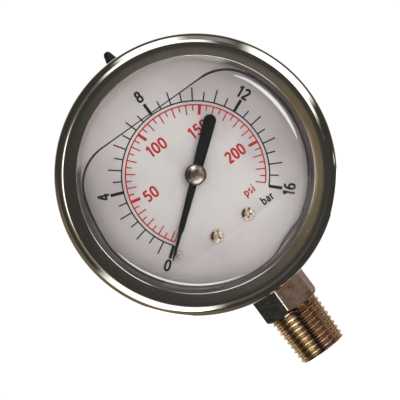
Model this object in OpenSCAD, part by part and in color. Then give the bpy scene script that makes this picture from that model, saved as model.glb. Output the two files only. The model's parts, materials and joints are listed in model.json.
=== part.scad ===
// Liquid-filled dial pressure gauge, nominal size 63 mm, with a bottom pipe connection.
// +Z is up and the dial faces -Y. The origin is the centre of the thread's end face.
// Inside is a C-shaped Bourdon tube that drives the pointer through a link, a toothed
// sector and a pinion.

/* [Case and bezel] */
// Outside diameter of the bezel ring
bezel_d = 68.5; // [67.5:0.5:71]
// Diameter of the window inside the bezel ring
window_d = 57.3; // [56.5:0.1:58.5]
// Width of the bezel's rounded outer roll
roll_w = 2.45; // [2:0.05:2.8]
// Outside diameter of the case cup
case_d = 62; // [61.4:0.2:62.6]
// Thickness of the case and bezel sheet
sheet_t = 0.7; // [0.5:0.1:0.8]
// Distance from the stem's axis back to the rear of the case
case_back = 13; // [12.5:0.5:18]
// Distance from the stem's axis forward to the bezel's crest
bezel_front = 18.2; // [18.1:0.1:19.2]
// Height of the dial's centre above the end of the thread
centre_h = 54; // [52:0.5:58]

/* [Pipe connection] */
// Crest diameter of the tapered thread next to the hexagon
thread_d = 13.72; // [13.4:0.02:13.9]
// Pitch of the thread, 18 turns to the inch
thread_pitch = 1.411; // [1.3:0.001:1.45]
// Length of the thread from the end face to the hexagon
thread_len = 12.8; // [12.4:0.1:13.2]
// Size of the hexagon across its flats
hex_af = 14; // [13.5:0.5:14]
// Turn of the hexagon away from the dial's front
hex_turn = 20; // [0:1:59]
// Diameter of the pressure port
port_d = 5.2; // [4.8:0.1:5.6]
// Depth of the pressure port
port_depth = 6; // [5:0.5:7]

/* [Movement] */
// Teeth cut on the sector
sector_teeth = 14; // [14:1:15]
// Mean radius of the Bourdon tube
tube_r = 24; // [23.8:0.1:24.2]
// Turn of the tube's tip at full scale
tip_travel = 5.26; // [5.1:0.005:5.3]

/* [Dial and pointer] */
// Diameter of the dial plate
dial_d = 59.2; // [58:0.2:59.6]
// Bearing of the pointer at rest, clockwise from straight up
rest_bearing = -129; // [-135:0.5:-120]
// Turn of the pointer from rest to the end of the scale
pointer_travel = 264; // [250:0.5:270]
// Length of the pointer from its hub to its point
pointer_len = 21.8; // [20.5:0.1:24]
// Length of the pointer's tail
tail_end = 15.2; // [12:0.1:16]

/* [Hidden] */

$fn = 96;
over = 0.5;              // how far a cutter runs past what it cuts

// depths, counted forward from the stem's axis
roll_f = bezel_front - roll_w;
lens_front = bezel_front - 1.2;
lens_back = lens_front - 3;
flange_front = lens_back - 1.5;
flange_back = flange_front - sheet_t;
bezel_back = flange_back - sheet_t;
dial_front = flange_front - 1.9;
dial_t = 0.6;
dial_back = dial_front - dial_t;
pointer_back = dial_front + 1.3;
pointer_t = 0.5;
seat_f = 0;
plate_t = 0.8;
front_plate_f = 6.6;
gear_back = 2;
gear_t = 1.2;
link_back = 3.5;
link_t = 0.6;
spring_back = 4.9;
spring_w = 0.6;

// radii round the dial's axis
bezel_r = bezel_d / 2;
window_r = window_d / 2;
crease_r = bezel_r - roll_w;
case_r = case_d / 2;
case_in = case_r - sheet_t;
corner_r = 2.4;
flange_r = case_r + 1.8;
lens_r = flange_r - 0.4;
gasket_in = window_r - 0.75;

// the stem and its seat in the case
neck_r = 8.1;
neck_gap = 0.1;
hex_top = 21.5;
hex_corner = hex_af / 2 / cos(30);
hex_bevel = 0.6;
seat_gasket_t = 0.5;
saddle_r = case_in - seat_gasket_t;
saddle_t = 1.8;
saddle_back = -9.6;
saddle_w = 19.2;
saddle_half = 30;
tower_half = 6.8;
tower_step = -20.5;
tower_top = -13;
case_screw_bearing = 24;
case_screw_r = 1.25;
channel_r = 1;
channel_top = centre_h - 23.6;
restrictor_r = 1.9;
restrictor_len = 4;
crest_flat = 0.2;
thread_depth = 0.875;
taper = 1 / 32;          // growth of the thread's radius along its length
first_crest = 1.15;
crests = floor((thread_len - 0.8 - first_crest) / thread_pitch) + 1;
relief_r = 5.9;

// the Bourdon tube
tube_w = 7;
tube_t = 2.6;
tube_wall = 0.3;
tube_root = -170;
tube_free_root = -164;
tube_end = 109;
tip_len = 9;

// the gear train
gear_module = 0.25;
pinion_teeth = 14;
sector_full_teeth = 112; // as many as it would have on a full circle
pressure_angle = 20;
profile_shift = 0.3;
backlash = 0.02;
gear_ratio = sector_full_teeth / pinion_teeth;
centre_distance = gear_module * (sector_full_teeth + pinion_teeth) / 2;
sector_travel = pointer_travel / gear_ratio;
sector_bearing = 135;
sector_r = gear_module * sector_full_teeth / 2;
tooth_pitch = 360 / sector_full_teeth;
rim_w = 2.2;
tail_len = 4.2;
tail_bearing = 126.9;
link_len = 8;
pivot_r = 0.5;
running = 0.03;          // radial clearance of a journal in its hole
link_pin_r = 0.55;
open_pivot_gap = 0.2;    // radial clearance at the linkage's open pivot

sector_pivot = polar(sector_bearing, centre_distance);
tail_mid = sector_pivot + polar(tail_bearing, tail_len);
tail_rest = turned(tail_mid, sector_pivot, -sector_travel / 2);
tip_mid = tail_mid + polar(tail_bearing - 90, link_len);
tube_half = (tube_end - tube_free_root) / 2;
tube_middle = (tube_end + tube_free_root) / 2;
tube_hinge = polar(tube_middle, tube_r * sin(tube_half) / (tube_half * PI / 180));
tip_rest = turned(tip_mid, tube_hinge, -tip_travel / 2);

// plates and pillars, as seen from the front with the dial's centre as zero
pillars = [[-5.8, 1.5], [-5.2, -10.4], [15.2, -7.2]];
plate_left = [pillars[0], pillars[1]];
plate_foot = [[-4.4, -17.7], [4.4, -17.7]];
plate_right = [sector_pivot, pillars[2], [2, 3.5]];
plate_margin = 2.2;
pillar_r = 1.3;
plate_screw_r = 0.7;
dial_pillar_at = [[-4.7, -15.3], [4.7, -15.3]];
dial_pillar_r = 1.6;
dial_screw_r = 1;
mount_screw_at = [0, -18.2];
mount_screw_r = 1.1;

// hairspring
spring_in = 1.32;
spring_out = 4.4;
spring_turns = 4.5;
spring_t = 0.1;
collet_r = 1.3;
arbor_r = 0.9;
stud_r = 0.6;
spring_step = 15;

hub_r = 2.65;
shaft_r = 0.6;
stop_r = 0.75;
stop_dist = 19.85;
stop_blade = 0.33;       // half the pointer's width where it meets the stop pin
stop_at = polar(rest_bearing - asin((stop_r + stop_blade + running) / stop_dist), stop_dist);
plug_r = 3.3;

// A point at a bearing clockwise from straight up, as seen from the front.
function polar(bearing, r) = [r * sin(bearing), r * cos(bearing)];

// A point turned counterclockwise about a centre.
function turned(p, c, a) =
  c + [[cos(a), -sin(a)], [sin(a), cos(a)]] * (p - c);

function arc(c, r, a0, a1, n) =
  [for (i = [0:n]) let (a = a0 + (a1 - a0) * i / n) c + r * [cos(a), sin(a)]];

// The involute's polar angle in degrees at radius r on a base circle.
function involute(base, r) =
  let (a = acos(min(1, base / r))) tan(a) * 180 / PI - a;

// Half the angle that a tooth fills at radius r.
function tooth_half(teeth, shift, r) =
  let (pitch_r = gear_module * teeth / 2, base = pitch_r * cos(pressure_angle))
  90 / teeth + (2 * shift * tan(pressure_angle) / teeth - backlash / 2 / pitch_r) * 180 / PI
  + involute(base, pitch_r) - involute(base, max(r, base));

// One tooth's outline about an angle, from its root on one side to its root on the other.
function tooth(teeth, shift, a) =
  let (
    pitch_r = gear_module * teeth / 2,
    root = pitch_r - (1.25 - shift) * gear_module,
    tip = pitch_r + (1 + shift) * gear_module,
    n = 5,
    flank = [for (i = [0:n]) root + (tip - root) * i / n]
  )
  concat(
    [for (r = flank) let (h = a - tooth_half(teeth, shift, r)) r * [cos(h), sin(h)]],
    [for (i = [n:-1:0]) let (r = flank[i], h = a + tooth_half(teeth, shift, r)) r * [cos(h), sin(h)]]
  );

// Where the straight side of a tapered bar leaves its two round ends.
function side_points(p, q, rp, rq, side) =
  let (
    d = q - p,
    len = norm(d),
    s = (rp - rq) / len,
    c = side * sqrt(1 - s * s),
    n = [s * d[0] - c * d[1], s * d[1] + c * d[0]] / len
  )
  [p + rp * n, q + rq * n];

// Puts something drawn flat on the dial's axis: its Z becomes the distance forward.
module facing(f = 0) {
  translate([0, -f, centre_h]) rotate([90, 0, 0]) children();
}

module at(p, f = 0) {
  translate([p[0], p[1], f]) children();
}

// A flat bar with round ends of two sizes.
module bar(p, q, rp, rq, t) {
  left = side_points(p, q, rp, rq, 1);
  right = side_points(p, q, rp, rq, -1);
  at(p) cylinder(r = rp, h = t);
  at(q) cylinder(r = rq, h = t);
  linear_extrude(t) polygon([left[0], left[1], right[1], right[0]]);
}

// A drill that goes right through a flat part that starts at zero.
module drill(p, r, t) {
  at(p, -over) cylinder(r = r, h = t + 2 * over);
}

// A solid turned on the dial's axis from [radius, distance forward] pairs.
module turned_solid(p, steps) {
  facing() at(p) rotate_extrude() polygon(steps);
}

// A part of a ring round the dial's axis, centred on a bearing.
module ring_sector(inner, outer, back, width, bearing, half) {
  facing(back) rotate([0, 0, 90 - bearing - half])
    rotate_extrude(angle = 2 * half)
      translate([inner, 0]) square([outer - inner, width]);
}

// A hole or a shank that points at the dial's axis from below, at an angle to the stem.
module radial(angle, r0, r1, r) {
  translate([0, 0, centre_h]) rotate([0, 180 - angle, 0])
    translate([0, 0, r0]) cylinder(r = r, h = r1 - r0);
}

// ---- case, bezel and window ----

module case() {
  color("gainsboro") difference() {
    facing() rotate_extrude() polygon(concat(
      [[0, -case_back]],
      arc([case_r - corner_r, corner_r - case_back], corner_r, -90, 0, 6),
      [[case_r, flange_back], [flange_r, flange_back], [flange_r, flange_front]],
      [[case_in, flange_front]],
      arc([case_r - corner_r, corner_r - case_back], corner_r - sheet_t, 0, -90, 6),
      [[0, sheet_t - case_back]]
    ));
    translate([0, 0, centre_h - case_r - 2]) cylinder(r = neck_r + neck_gap, h = 8);
    translate([0, 0, centre_h]) cylinder(r = plug_r, h = case_r + 2);
    for (side = [-1, 1])
      radial(side * case_screw_bearing, case_in - 1, case_r + 1, case_screw_r + 0.1);
  }
}

module bezel_ring() {
  skirt_in = bezel_r - sheet_t;
  lip_f = lens_front + 0.05;
  color("silver") facing() rotate_extrude() polygon(concat(
    [[flange_r - 0.8, bezel_back], [bezel_r - 0.5, bezel_back], [bezel_r, bezel_back + 0.5]],
    arc([crease_r, roll_f], roll_w, 0, 90, 10),
    [[window_r + 0.2, lip_f + sheet_t], [window_r, lip_f + sheet_t - 0.15], [window_r, lip_f]],
    arc([crease_r, roll_f], roll_w - sheet_t, 90, 0, 8),
    [[skirt_in, flange_back], [flange_r - 0.8, flange_back]]
  ));
}

module lens() {
  color("lightcyan", 0.35) facing(lens_back) cylinder(r = lens_r, h = lens_front - lens_back);
}

module lens_gasket() {
  color("lightgray") facing(flange_front) difference() {
    cylinder(r = flange_r - 0.1, h = lens_back - flange_front);
    translate([0, 0, -over]) cylinder(r = gasket_in, h = lens_back - flange_front + 2 * over);
  }
}

// The rubber plug that closes the filling hole, with a nipple to cut off for venting.
module fill_plug() {
  top = case_r + 7.2;
  collar_r = plug_r + 1.7;
  barb_r = plug_r + 0.9;
  color("dimgray") difference() {
    translate([0, 0, centre_h]) rotate_extrude() polygon([
      [0, case_in - 1.9], [barb_r - 0.4, case_in - 1.9], [barb_r, case_in - 1.2],
      [barb_r, case_in - 0.3], [plug_r, case_in - 0.3], [plug_r, case_r - 0.5],
      [collar_r, case_r - 0.5], [collar_r, case_r + 1.1], [collar_r - 0.5, case_r + 1.6],
      [2.45, case_r + 1.6], [0.8, top - 0.55], [0.42, top - 0.12], [0, top]
    ]);
    // its collar sits on the curved wall
    difference() {
      facing(-case_back) cylinder(r = case_r, h = 2 * case_back);
      facing(-case_back - over) cylinder(r = case_in, h = 2 * case_back + 2 * over);
      translate([0, 0, centre_h]) cylinder(r = plug_r, h = case_r + 2);
    }
  }
}

// ---- stem ----

function crest_r(z) = thread_d / 2 - (thread_len - z) * taper;

function thread_profile() =
  let (run = (thread_pitch - 2 * crest_flat) / 2 + crest_flat / 2)
  [for (i = [0:crests - 1])
    let (z = first_crest + i * thread_pitch, r = crest_r(z))
    each [
      [r - thread_depth, z - run], [r, z - crest_flat / 2],
      [r, z + crest_flat / 2], [r - thread_depth, z + run]
    ]];

module stem_body() {
  rotate_extrude() polygon(concat(
    [[0, 0], [crest_r(0) - thread_depth, 0]],
    thread_profile(),
    [[relief_r, thread_len - 0.4], [relief_r, thread_len + 1], [0, thread_len + 1]]
  ));
  // hexagon with its lower edge bevelled
  translate([0, 0, thread_len]) rotate([0, 0, hex_turn]) {
    cylinder(r1 = hex_corner - hex_bevel, r2 = hex_corner, h = hex_bevel, $fn = 6);
    translate([0, 0, hex_bevel])
      cylinder(r = hex_corner, h = hex_top - thread_len - hex_bevel, $fn = 6);
  }
  translate([0, 0, hex_top]) cylinder(r = neck_r, h = centre_h - saddle_r + 3 - hex_top);
}

module stem_socket() {
  color("goldenrod") difference() {
    union() {
      difference() {
        stem_body();
        facing(-case_back) cylinder(r = saddle_r - saddle_t / 2, h = 2 * case_back);
      }
      ring_sector(saddle_r - saddle_t, saddle_r, saddle_back, saddle_w, 180, saddle_half);
      // tower: the thick foot holds the tube's root, the thin top carries the movement
      intersection() {
        union() {
          translate([-tower_half, -4, centre_h - saddle_r])
            cube([2 * tower_half, 10.5, saddle_r + tower_step]);
          translate([-tower_half, -seat_f, centre_h + tower_step - 1])
            cube([2 * tower_half, 6.5, tower_top - tower_step + 1]);
        }
        facing(-case_back) cylinder(r = saddle_r - saddle_t / 2, h = 2 * case_back);
      }
    }
    translate([0, 0, -over]) cylinder(r = port_d / 2, h = port_depth + over);
    translate([0, 0, port_depth - over]) cylinder(r = restrictor_r, h = restrictor_len + over);
    translate([0, 0, port_depth]) cylinder(r = channel_r, h = channel_top - port_depth);
    translate([-4.5, 0, channel_top - 1]) rotate([0, 90, 0]) cylinder(r = 0.8, h = 4.5);
    tube_shell(0.03, 0, tube_root - 0.3, tube_free_root + 3);
    for (side = [-1, 1])
      radial(side * case_screw_bearing, saddle_r - saddle_t - 1, case_r, case_screw_r);
    facing(seat_f - 4) for (p = dial_pillar_at) at(p) cylinder(r = dial_screw_r, h = 4 + over);
    facing(seat_f - 4) at(mount_screw_at) cylinder(r = mount_screw_r, h = 4 + over);
  }
}

module stem_gasket() {
  color("darkslategray") difference() {
    ring_sector(saddle_r, case_in, saddle_back, saddle_w, 180, saddle_half);
    translate([0, 0, centre_h - case_r - 2]) cylinder(r = neck_r, h = 8);
    for (side = [-1, 1])
      radial(side * case_screw_bearing, saddle_r - 1, case_r, case_screw_r);
  }
}

module case_screws() {
  color("silver") for (side = [-1, 1]) difference() {
    union() {
      radial(side * case_screw_bearing, saddle_r - saddle_t + 0.1, case_r + 0.5, case_screw_r);
      difference() {
        radial(side * case_screw_bearing, case_r - 0.3, case_r + 1.4, 2.2);
        facing(-case_back) cylinder(r = case_r, h = 2 * case_back);
      }
    }
    for (turn = [0, 90])
      translate([0, 0, centre_h]) rotate([0, 180 - side * case_screw_bearing, 0])
        rotate([0, 0, turn]) translate([-1.2, -0.25, case_r + 0.7]) cube([2.4, 0.5, 2]);
  }
}

module restrictor_screw() {
  color("gold") difference() {
    translate([0, 0, port_depth]) cylinder(r = restrictor_r, h = restrictor_len - 0.4);
    translate([-restrictor_r - over, -0.25, port_depth - over])
      cube([2 * restrictor_r + 2 * over, 0.5, 0.9 + over]);
    translate([0, 0, port_depth]) cylinder(r = 0.3, h = restrictor_len);
  }
}

// ---- Bourdon tube ----

// The tube's flattened section, grown by a gap or shrunk to its hollow.
module tube_section(grow) {
  r = tube_t / 2 + grow;
  flat = tube_w - tube_t;
  translate([tube_r, 0]) {
    translate([-r, -flat / 2]) square([2 * r, flat]);
    for (end = [-1, 1]) translate([0, end * flat / 2]) circle(r = r, $fn = 32);
  }
}

module tube_shell(grow, hollow, from, to) {
  facing() rotate([0, 0, 90 - to]) rotate_extrude(angle = to - from)
    difference() {
      tube_section(grow);
      if (hollow > 0) tube_section(-hollow);
    }
}

module bourdon_tube() {
  color("peru") tube_shell(0, tube_wall, tube_root, tube_end);
}

// The cap soldered on the tube's free end, with the ear that the link hangs on.
module tube_tip() {
  cap_in = tube_r - tube_t / 2 - 0.3;
  cap_out = tube_r + tube_t / 2 + 0.3;
  color("goldenrod") difference() {
    union() {
      ring_sector(
        cap_in, cap_out, -tube_w / 2 - 0.2, tube_w + 0.4, tube_end + tip_len / 2, tip_len / 2
      );
      facing(gear_back)
        bar(tip_rest, polar(tube_end + tip_len / 2 + 1, cap_in + 1), 1.15, 1.2, gear_t);
    }
    facing(gear_back) drill(tip_rest, 0.45, gear_t);
  }
}

// A shouldered pin: a tail fixed in one lever, a journal for the link and a head.
module link_pin(p) {
  color("silver") turned_solid(p, [
    [0, gear_back], [0.45, gear_back], [0.45, gear_back + gear_t],
    [link_pin_r, gear_back + gear_t], [link_pin_r, link_back + link_t + 0.2],
    [1.05, link_back + link_t + 0.2], [1.05, link_back + link_t + 0.6],
    [0, link_back + link_t + 0.6]
  ]);
}

module tip_link_pin() {
  link_pin(tip_rest);
}

module sector_link_pin() {
  link_pin(tail_rest);
}

module link() {
  color("khaki") facing(link_back) difference() {
    bar(tip_rest, tail_rest, 1.2, 1.35, link_t);
    drill(tip_rest, link_pin_r + running, link_t);
    drill(tail_rest, link_pin_r + open_pivot_gap, link_t);
  }
}

// ---- movement ----

// At mid travel a sector tooth points straight at the pinion, and a pinion gap faces it.
module sector_gear() {
  to_pinion = 90 - (sector_bearing + 180);
  span = sector_teeth * tooth_pitch;
  first = to_pinion - sector_travel / 2 - (sector_teeth - 1) / 2 * tooth_pitch;
  // an even number of teeth has none in the middle, so the row is half a pitch over
  odd = sector_teeth % 2 == 0 ? tooth_pitch / 2 : 0;
  root = sector_r - (1.25 + profile_shift) * gear_module;
  inner = root - rim_w;
  middle = to_pinion - sector_travel / 2 + odd;
  spoke = (span - 9) / 2;
  color("goldenrod") facing(gear_back) difference() {
    union() {
      at(sector_pivot) {
        linear_extrude(gear_t) polygon(concat(
          [for (i = [0:sector_teeth - 1])
            each tooth(sector_full_teeth, -profile_shift, first + odd + i * tooth_pitch)],
          arc([0, 0], inner, middle + span / 2, middle - span / 2, 12)
        ));
        for (side = [-1, 1]) {
          a = middle + side * spoke;
          bar([0, 0], (inner + rim_w / 2) * [cos(a), sin(a)], 1.5, 1, gear_t);
        }
      }
      bar(sector_pivot, tail_rest, 2, 1.15, gear_t);
      at(sector_pivot, -0.6) cylinder(r = 2, h = 3);
    }
    at(sector_pivot, -over - 1) cylinder(r = 1, h = 6);
    drill(tail_rest, 0.45, gear_t);
  }
}

module sector_arbor() {
  color("silver") turned_solid(sector_pivot, [
    [0, -0.3], [pivot_r - 0.1, -0.3], [pivot_r, -0.2], [pivot_r, plate_t + 0.3],
    [1, plate_t + 0.3], [1, front_plate_f - 0.3], [pivot_r, front_plate_f - 0.3],
    [pivot_r, front_plate_f + plate_t + 0.2], [pivot_r - 0.1, front_plate_f + plate_t + 0.3],
    [0, front_plate_f + plate_t + 0.3]
  ]);
}

module pinion_arbor() {
  teeth_back = gear_back - 0.3;
  teeth_w = gear_t + 0.6;
  to_sector = 90 - sector_bearing;
  first = to_sector + pointer_travel / 2 + 180 / pinion_teeth;
  nose = pointer_back + 1.1;
  color("silver") {
    turned_solid([0, 0], [
      [0, -0.3], [pivot_r - 0.1, -0.3], [pivot_r, -0.2], [pivot_r, plate_t + 0.3],
      [arbor_r, plate_t + 0.3], [arbor_r, front_plate_f - 0.3],
      [shaft_r, front_plate_f - 0.3], [shaft_r, nose], [0, nose]
    ]);
    facing(teeth_back) linear_extrude(teeth_w) polygon(
      [for (i = [0:pinion_teeth - 1])
        each tooth(pinion_teeth, profile_shift, first + i * 360 / pinion_teeth)]
    );
  }
}

function spiral_point(a, side) =
  let (r = spring_in + (spring_out - spring_in) * a / (360 * spring_turns) + side * spring_t / 2)
  r * [cos(a), sin(a)];

module hairspring() {
  last = 360 * spring_turns;
  color("steelblue") facing(spring_back) linear_extrude(spring_w) polygon(concat(
    [for (a = [0:spring_step:last]) spiral_point(a, 1)],
    [for (a = [last:-spring_step:0]) spiral_point(a, -1)]
  ));
}

module hairspring_collet() {
  color("goldenrod") facing(spring_back - 0.2) difference() {
    cylinder(r = collet_r - spring_t, h = spring_w + 0.5);
    translate([0, 0, -over]) cylinder(r = arbor_r, h = spring_w + 2);
  }
}

// The post on the front plate that holds the spring's outer end.
module hairspring_stud() {
  a = 360 * spring_turns;
  post = (spring_out + 0.1) * [cos(a), sin(a)] + (stud_r + 0.02) * [-sin(a), cos(a)];
  color("goldenrod") facing(spring_back - 0.2) at(post)
    cylinder(r = stud_r, h = front_plate_f - spring_back + 0.2);
}

// Holes for the two pivots and the three pillars of the movement's plates.
module plate_holes(pinion_r, pillar_hole_r) {
  drill([0, 0], pinion_r + running, plate_t);
  drill(sector_pivot, pivot_r + running, plate_t);
  for (p = pillars) drill(p, pillar_hole_r, plate_t);
}

// A plate whose edge runs at one distance round its corners.
module movement_plate(corners) {
  linear_extrude(plate_t) offset(r = plate_margin, $fn = 48) polygon(corners);
}

module movement_rear_plate() {
  color("goldenrod") facing(seat_f) difference() {
    movement_plate(concat(plate_left, plate_foot, plate_right));
    plate_holes(pivot_r, plate_screw_r);
    for (p = dial_pillar_at) drill(p, dial_screw_r + 0.1, plate_t);
    drill(mount_screw_at, mount_screw_r + 0.1, plate_t);
  }
}

module movement_front_plate() {
  color("goldenrod") facing(front_plate_f) difference() {
    movement_plate(concat(plate_left, plate_right));
    plate_holes(shaft_r, plate_screw_r + 0.1);
  }
}

// Each pillar is riveted in the rear plate and tapped at its front end.
module movement_pillars() {
  color("goldenrod") for (p = pillars) facing() difference() {
    union() {
      at(p) cylinder(r = plate_screw_r, h = plate_t + over);
      at(p, plate_t) cylinder(r = pillar_r, h = front_plate_f - plate_t);
    }
    at(p, front_plate_f - 3) cylinder(r = plate_screw_r, h = 3 + over);
  }
}

// A cheese-head screw along the dial's axis, with its head's underside at the given depth.
module screw(p, f, r, shank, head_r, head_h, cross) {
  slot_w = head_r * 0.3;
  slot_l = head_r * 1.25;
  facing(f) at(p) difference() {
    union() {
      translate([0, 0, -shank]) cylinder(r = r, h = shank + over / 2);
      rotate_extrude() polygon([
        [0, 0], [head_r, 0], [head_r, head_h * 0.55], [head_r * 0.75, head_h * 0.9],
        [head_r * 0.4, head_h], [0, head_h]
      ]);
    }
    for (turn = cross ? [0, 90] : [0]) rotate([0, 0, turn + 25])
      translate([-slot_l / 2 * (cross ? 1 : 2), -slot_w / 2, head_h * 0.4])
        cube([slot_l * (cross ? 1 : 2), slot_w, head_h]);
  }
}

module front_plate_screws() {
  color("silver") for (p = pillars)
    screw(p, front_plate_f + plate_t, plate_screw_r, plate_t + 2, 1.25, 0.8, false);
}

module movement_mount_screw() {
  color("silver") screw(mount_screw_at, seat_f + plate_t, mount_screw_r, 4, 2, 1.2, false);
}

// ---- dial and pointer ----

module dial_pillars() {
  color("goldenrod") for (p = dial_pillar_at) facing(seat_f) difference() {
    union() {
      at(p, -3.5) cylinder(r = dial_screw_r, h = 3.5 + plate_t + over);
      at(p, plate_t) cylinder(r = dial_pillar_r, h = dial_back - plate_t);
    }
    at(p, dial_back - 5) cylinder(r = dial_screw_r, h = 5 + over);
  }
}

module dial_plate() {
  color("whitesmoke") facing(dial_back) difference() {
    cylinder(r = dial_d / 2, h = dial_t);
    drill([0, 0], 2, dial_t);
    for (p = dial_pillar_at) drill(p, dial_screw_r + 0.1, dial_t);
    drill(stop_at, 0.5, dial_t);
  }
}

module dial_screws() {
  color("burlywood") for (p = dial_pillar_at)
    screw(p, dial_front, dial_screw_r, dial_t + 4, 1.6, 1, true);
}

module stop_pin() {
  color("burlywood") turned_solid(stop_at, [
    [0, dial_back - 0.4], [0.5, dial_back - 0.4], [0.5, dial_front], [stop_r, dial_front],
    [stop_r, pointer_back + 1.3], [stop_r - 0.2, pointer_back + 1.5], [0, pointer_back + 1.5]
  ]);
}

// Flat blade: a bar that steps down to a fine needle, and a short tail with a round end.
module pointer() {
  right = [[1, 0], [0.7, 13.9], [0.45, 15], [stop_blade, stop_dist], [0.1, pointer_len]];
  left = [for (i = [len(right) - 1:-1:0]) [-right[i][0], right[i][1]]];
  color("black") facing(pointer_back) rotate([0, 0, -rest_bearing]) difference() {
    union() {
      linear_extrude(pointer_t) polygon(concat(right, left));
      bar([0, 0], [0, -tail_end + 1.55], 1.25, 1.55, pointer_t);
      cylinder(r = hub_r - 0.1, h = pointer_t);
    }
    drill([0, 0], 1.2, pointer_t);
  }
}

// The bush pressed on the pinion's shaft. The pointer is riveted between its two flanges.
module pointer_hub() {
  back = pointer_back - 0.5;
  front = pointer_back + pointer_t;
  color("burlywood") turned_solid([0, 0], concat(
    [[shaft_r, back], [1.8, back], [1.8, pointer_back], [1.2, pointer_back], [1.2, front]],
    [[hub_r, front], [hub_r, front + 0.35], [hub_r - 0.35, front + 0.75]],
    [[hub_r - 1.2, front + 1.05], [hub_r - 2, front + 1.15], [0, front + 1.15]],
    [[0, pointer_back + 1.1], [shaft_r, pointer_back + 1.1]]
  ));
}

case();
bezel_ring();
lens();
lens_gasket();
fill_plug();
stem_socket();
stem_gasket();
case_screws();
restrictor_screw();
bourdon_tube();
tube_tip();
tip_link_pin();
link();
sector_link_pin();
sector_gear();
sector_arbor();
pinion_arbor();
hairspring();
hairspring_collet();
hairspring_stud();
movement_rear_plate();
movement_front_plate();
movement_pillars();
front_plate_screws();
movement_mount_screw();
dial_pillars();
dial_plate();
dial_screws();
stop_pin();
pointer();
pointer_hub();
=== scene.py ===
"""The looks of a liquid-filled pressure gauge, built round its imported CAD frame."""

import json
import math

import bmesh
import bpy
import numpy as np
from mathutils import Matrix, Vector


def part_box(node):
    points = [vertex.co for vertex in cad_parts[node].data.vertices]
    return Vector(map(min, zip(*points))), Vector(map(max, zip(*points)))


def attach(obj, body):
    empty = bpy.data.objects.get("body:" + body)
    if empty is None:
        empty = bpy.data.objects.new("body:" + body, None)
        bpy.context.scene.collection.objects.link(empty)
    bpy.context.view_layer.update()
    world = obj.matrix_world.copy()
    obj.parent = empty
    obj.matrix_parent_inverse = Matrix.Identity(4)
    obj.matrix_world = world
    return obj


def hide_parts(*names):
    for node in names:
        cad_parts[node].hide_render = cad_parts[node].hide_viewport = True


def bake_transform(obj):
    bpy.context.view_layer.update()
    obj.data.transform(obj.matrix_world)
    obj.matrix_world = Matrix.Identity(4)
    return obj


MM = 0.001
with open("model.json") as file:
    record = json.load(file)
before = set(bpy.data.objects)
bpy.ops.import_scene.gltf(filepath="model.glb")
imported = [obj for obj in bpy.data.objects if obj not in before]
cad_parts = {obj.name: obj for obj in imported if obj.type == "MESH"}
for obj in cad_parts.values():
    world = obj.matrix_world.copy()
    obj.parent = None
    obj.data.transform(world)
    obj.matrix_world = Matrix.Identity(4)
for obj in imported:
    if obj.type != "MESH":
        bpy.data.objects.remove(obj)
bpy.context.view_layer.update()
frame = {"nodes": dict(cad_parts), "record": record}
nodes = frame["nodes"]


def mm_box(node):
    low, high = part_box(node)
    return low / MM, high / MM


# ---------------------------------------------------------------- measures
# All in millimetres. f is the distance forward of the stem's axis (-Y), u the height above
# the dial's centre, and a bearing runs clockwise from straight up as seen from the front.

bezel_low, bezel_high = mm_box("bezel_ring")
CENTRE = (bezel_low.z + bezel_high.z) / 2
BEZEL_R = (bezel_high.z - bezel_low.z) / 2
BEZEL_FRONT, BEZEL_BACK = -bezel_low.y, -bezel_high.y
case_low, case_high = mm_box("case")
CASE_BACK = -case_high.y
FLANGE_R, FLANGE_FRONT = case_high.x, -case_low.y
CASE_R, SHEET = 31.0, 0.7
lens_low, lens_high = mm_box("lens")
LENS_R, LENS_FRONT, LENS_BACK = lens_high.x, -lens_low.y, -lens_high.y
DIAL_FRONT = -mm_box("dial_plate")[0].y
pointer_low, pointer_high = mm_box("pointer")
POINTER_BACK, POINTER_FRONT = -pointer_high.y, -pointer_low.y
hub_low, hub_high = mm_box("pointer_hub")
HUB_R, HUB_FRONT = hub_high.x, -hub_low.y
pin_low, pin_high = mm_box("stop_pin")
PIN_AT = ((pin_low.x + pin_high.x) / 2, (pin_low.z + pin_high.z) / 2 - CENTRE)
PIN_R, PIN_FRONT = (pin_high.x - pin_low.x) / 2, -pin_low.y
screws_low, screws_high = mm_box("dial_screws")
SCREW_R, SCREW_FRONT = 1.6, -screws_low.y
SCREW_AT = [(side * (screws_high.x - SCREW_R), screws_low.z + SCREW_R - CENTRE) for side in (-1, 1)]
PLUG_TOP = mm_box("fill_plug")[1].z - CENTRE
WINDOW_R = 28.65
ROLL_W = 2.45  # the bezel's rounded outer edge, which ends at the crease
CREASE_R = BEZEL_R - ROLL_W
REST = -129.0  # the pointer's bearing at rest
LEVEL = 18.45  # of the liquid, above the dial's centre
THREAD_LEN, THREAD_PITCH, THREAD_DEPTH = 12.8, 1.411, 0.62
THREAD_TOP_R, TAPER = 6.86, 1 / 32
HEX_TOP, HEX_HALF, HEX_TURN = 21.5, 7.0, 20.0
NECK_R = 8.1
PORT_R, PORT_DEPTH = 2.6, 6.0
PLUG_HOLE_R = 3.3
WALL_R = 28.05
TUBE_R, TUBE_START, TUBE_END = 24, -170, 109


def place(x, f, u):
    """A point from the gauge's own millimetres to the row frame's metres."""
    return (x * MM, -f * MM, (CENTRE + u) * MM)


def polar(bearing, r):
    a = math.radians(bearing)
    return r * math.sin(a), r * math.cos(a)


# ---------------------------------------------------------------- node helpers


def put(tree, socket, value):
    if isinstance(value, bpy.types.NodeSocket):
        tree.links.new(value, socket)
    elif value is not None:
        socket.default_value = value


def add_node(tree, kind, inputs, **settings):
    """A new node with its settings, and a value or a link for each input that isn't None."""
    node = tree.nodes.new("ShaderNode" + kind)
    for key, value in settings.items():
        setattr(node, key, value)
    for key, value in inputs.items():
        put(tree, node.inputs[key], value)
    return node


def calc(tree, op, a, b=None, c=None):
    return add_node(tree, "Math", {0: a, 1: b, 2: c}, operation=op).outputs[0]


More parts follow.
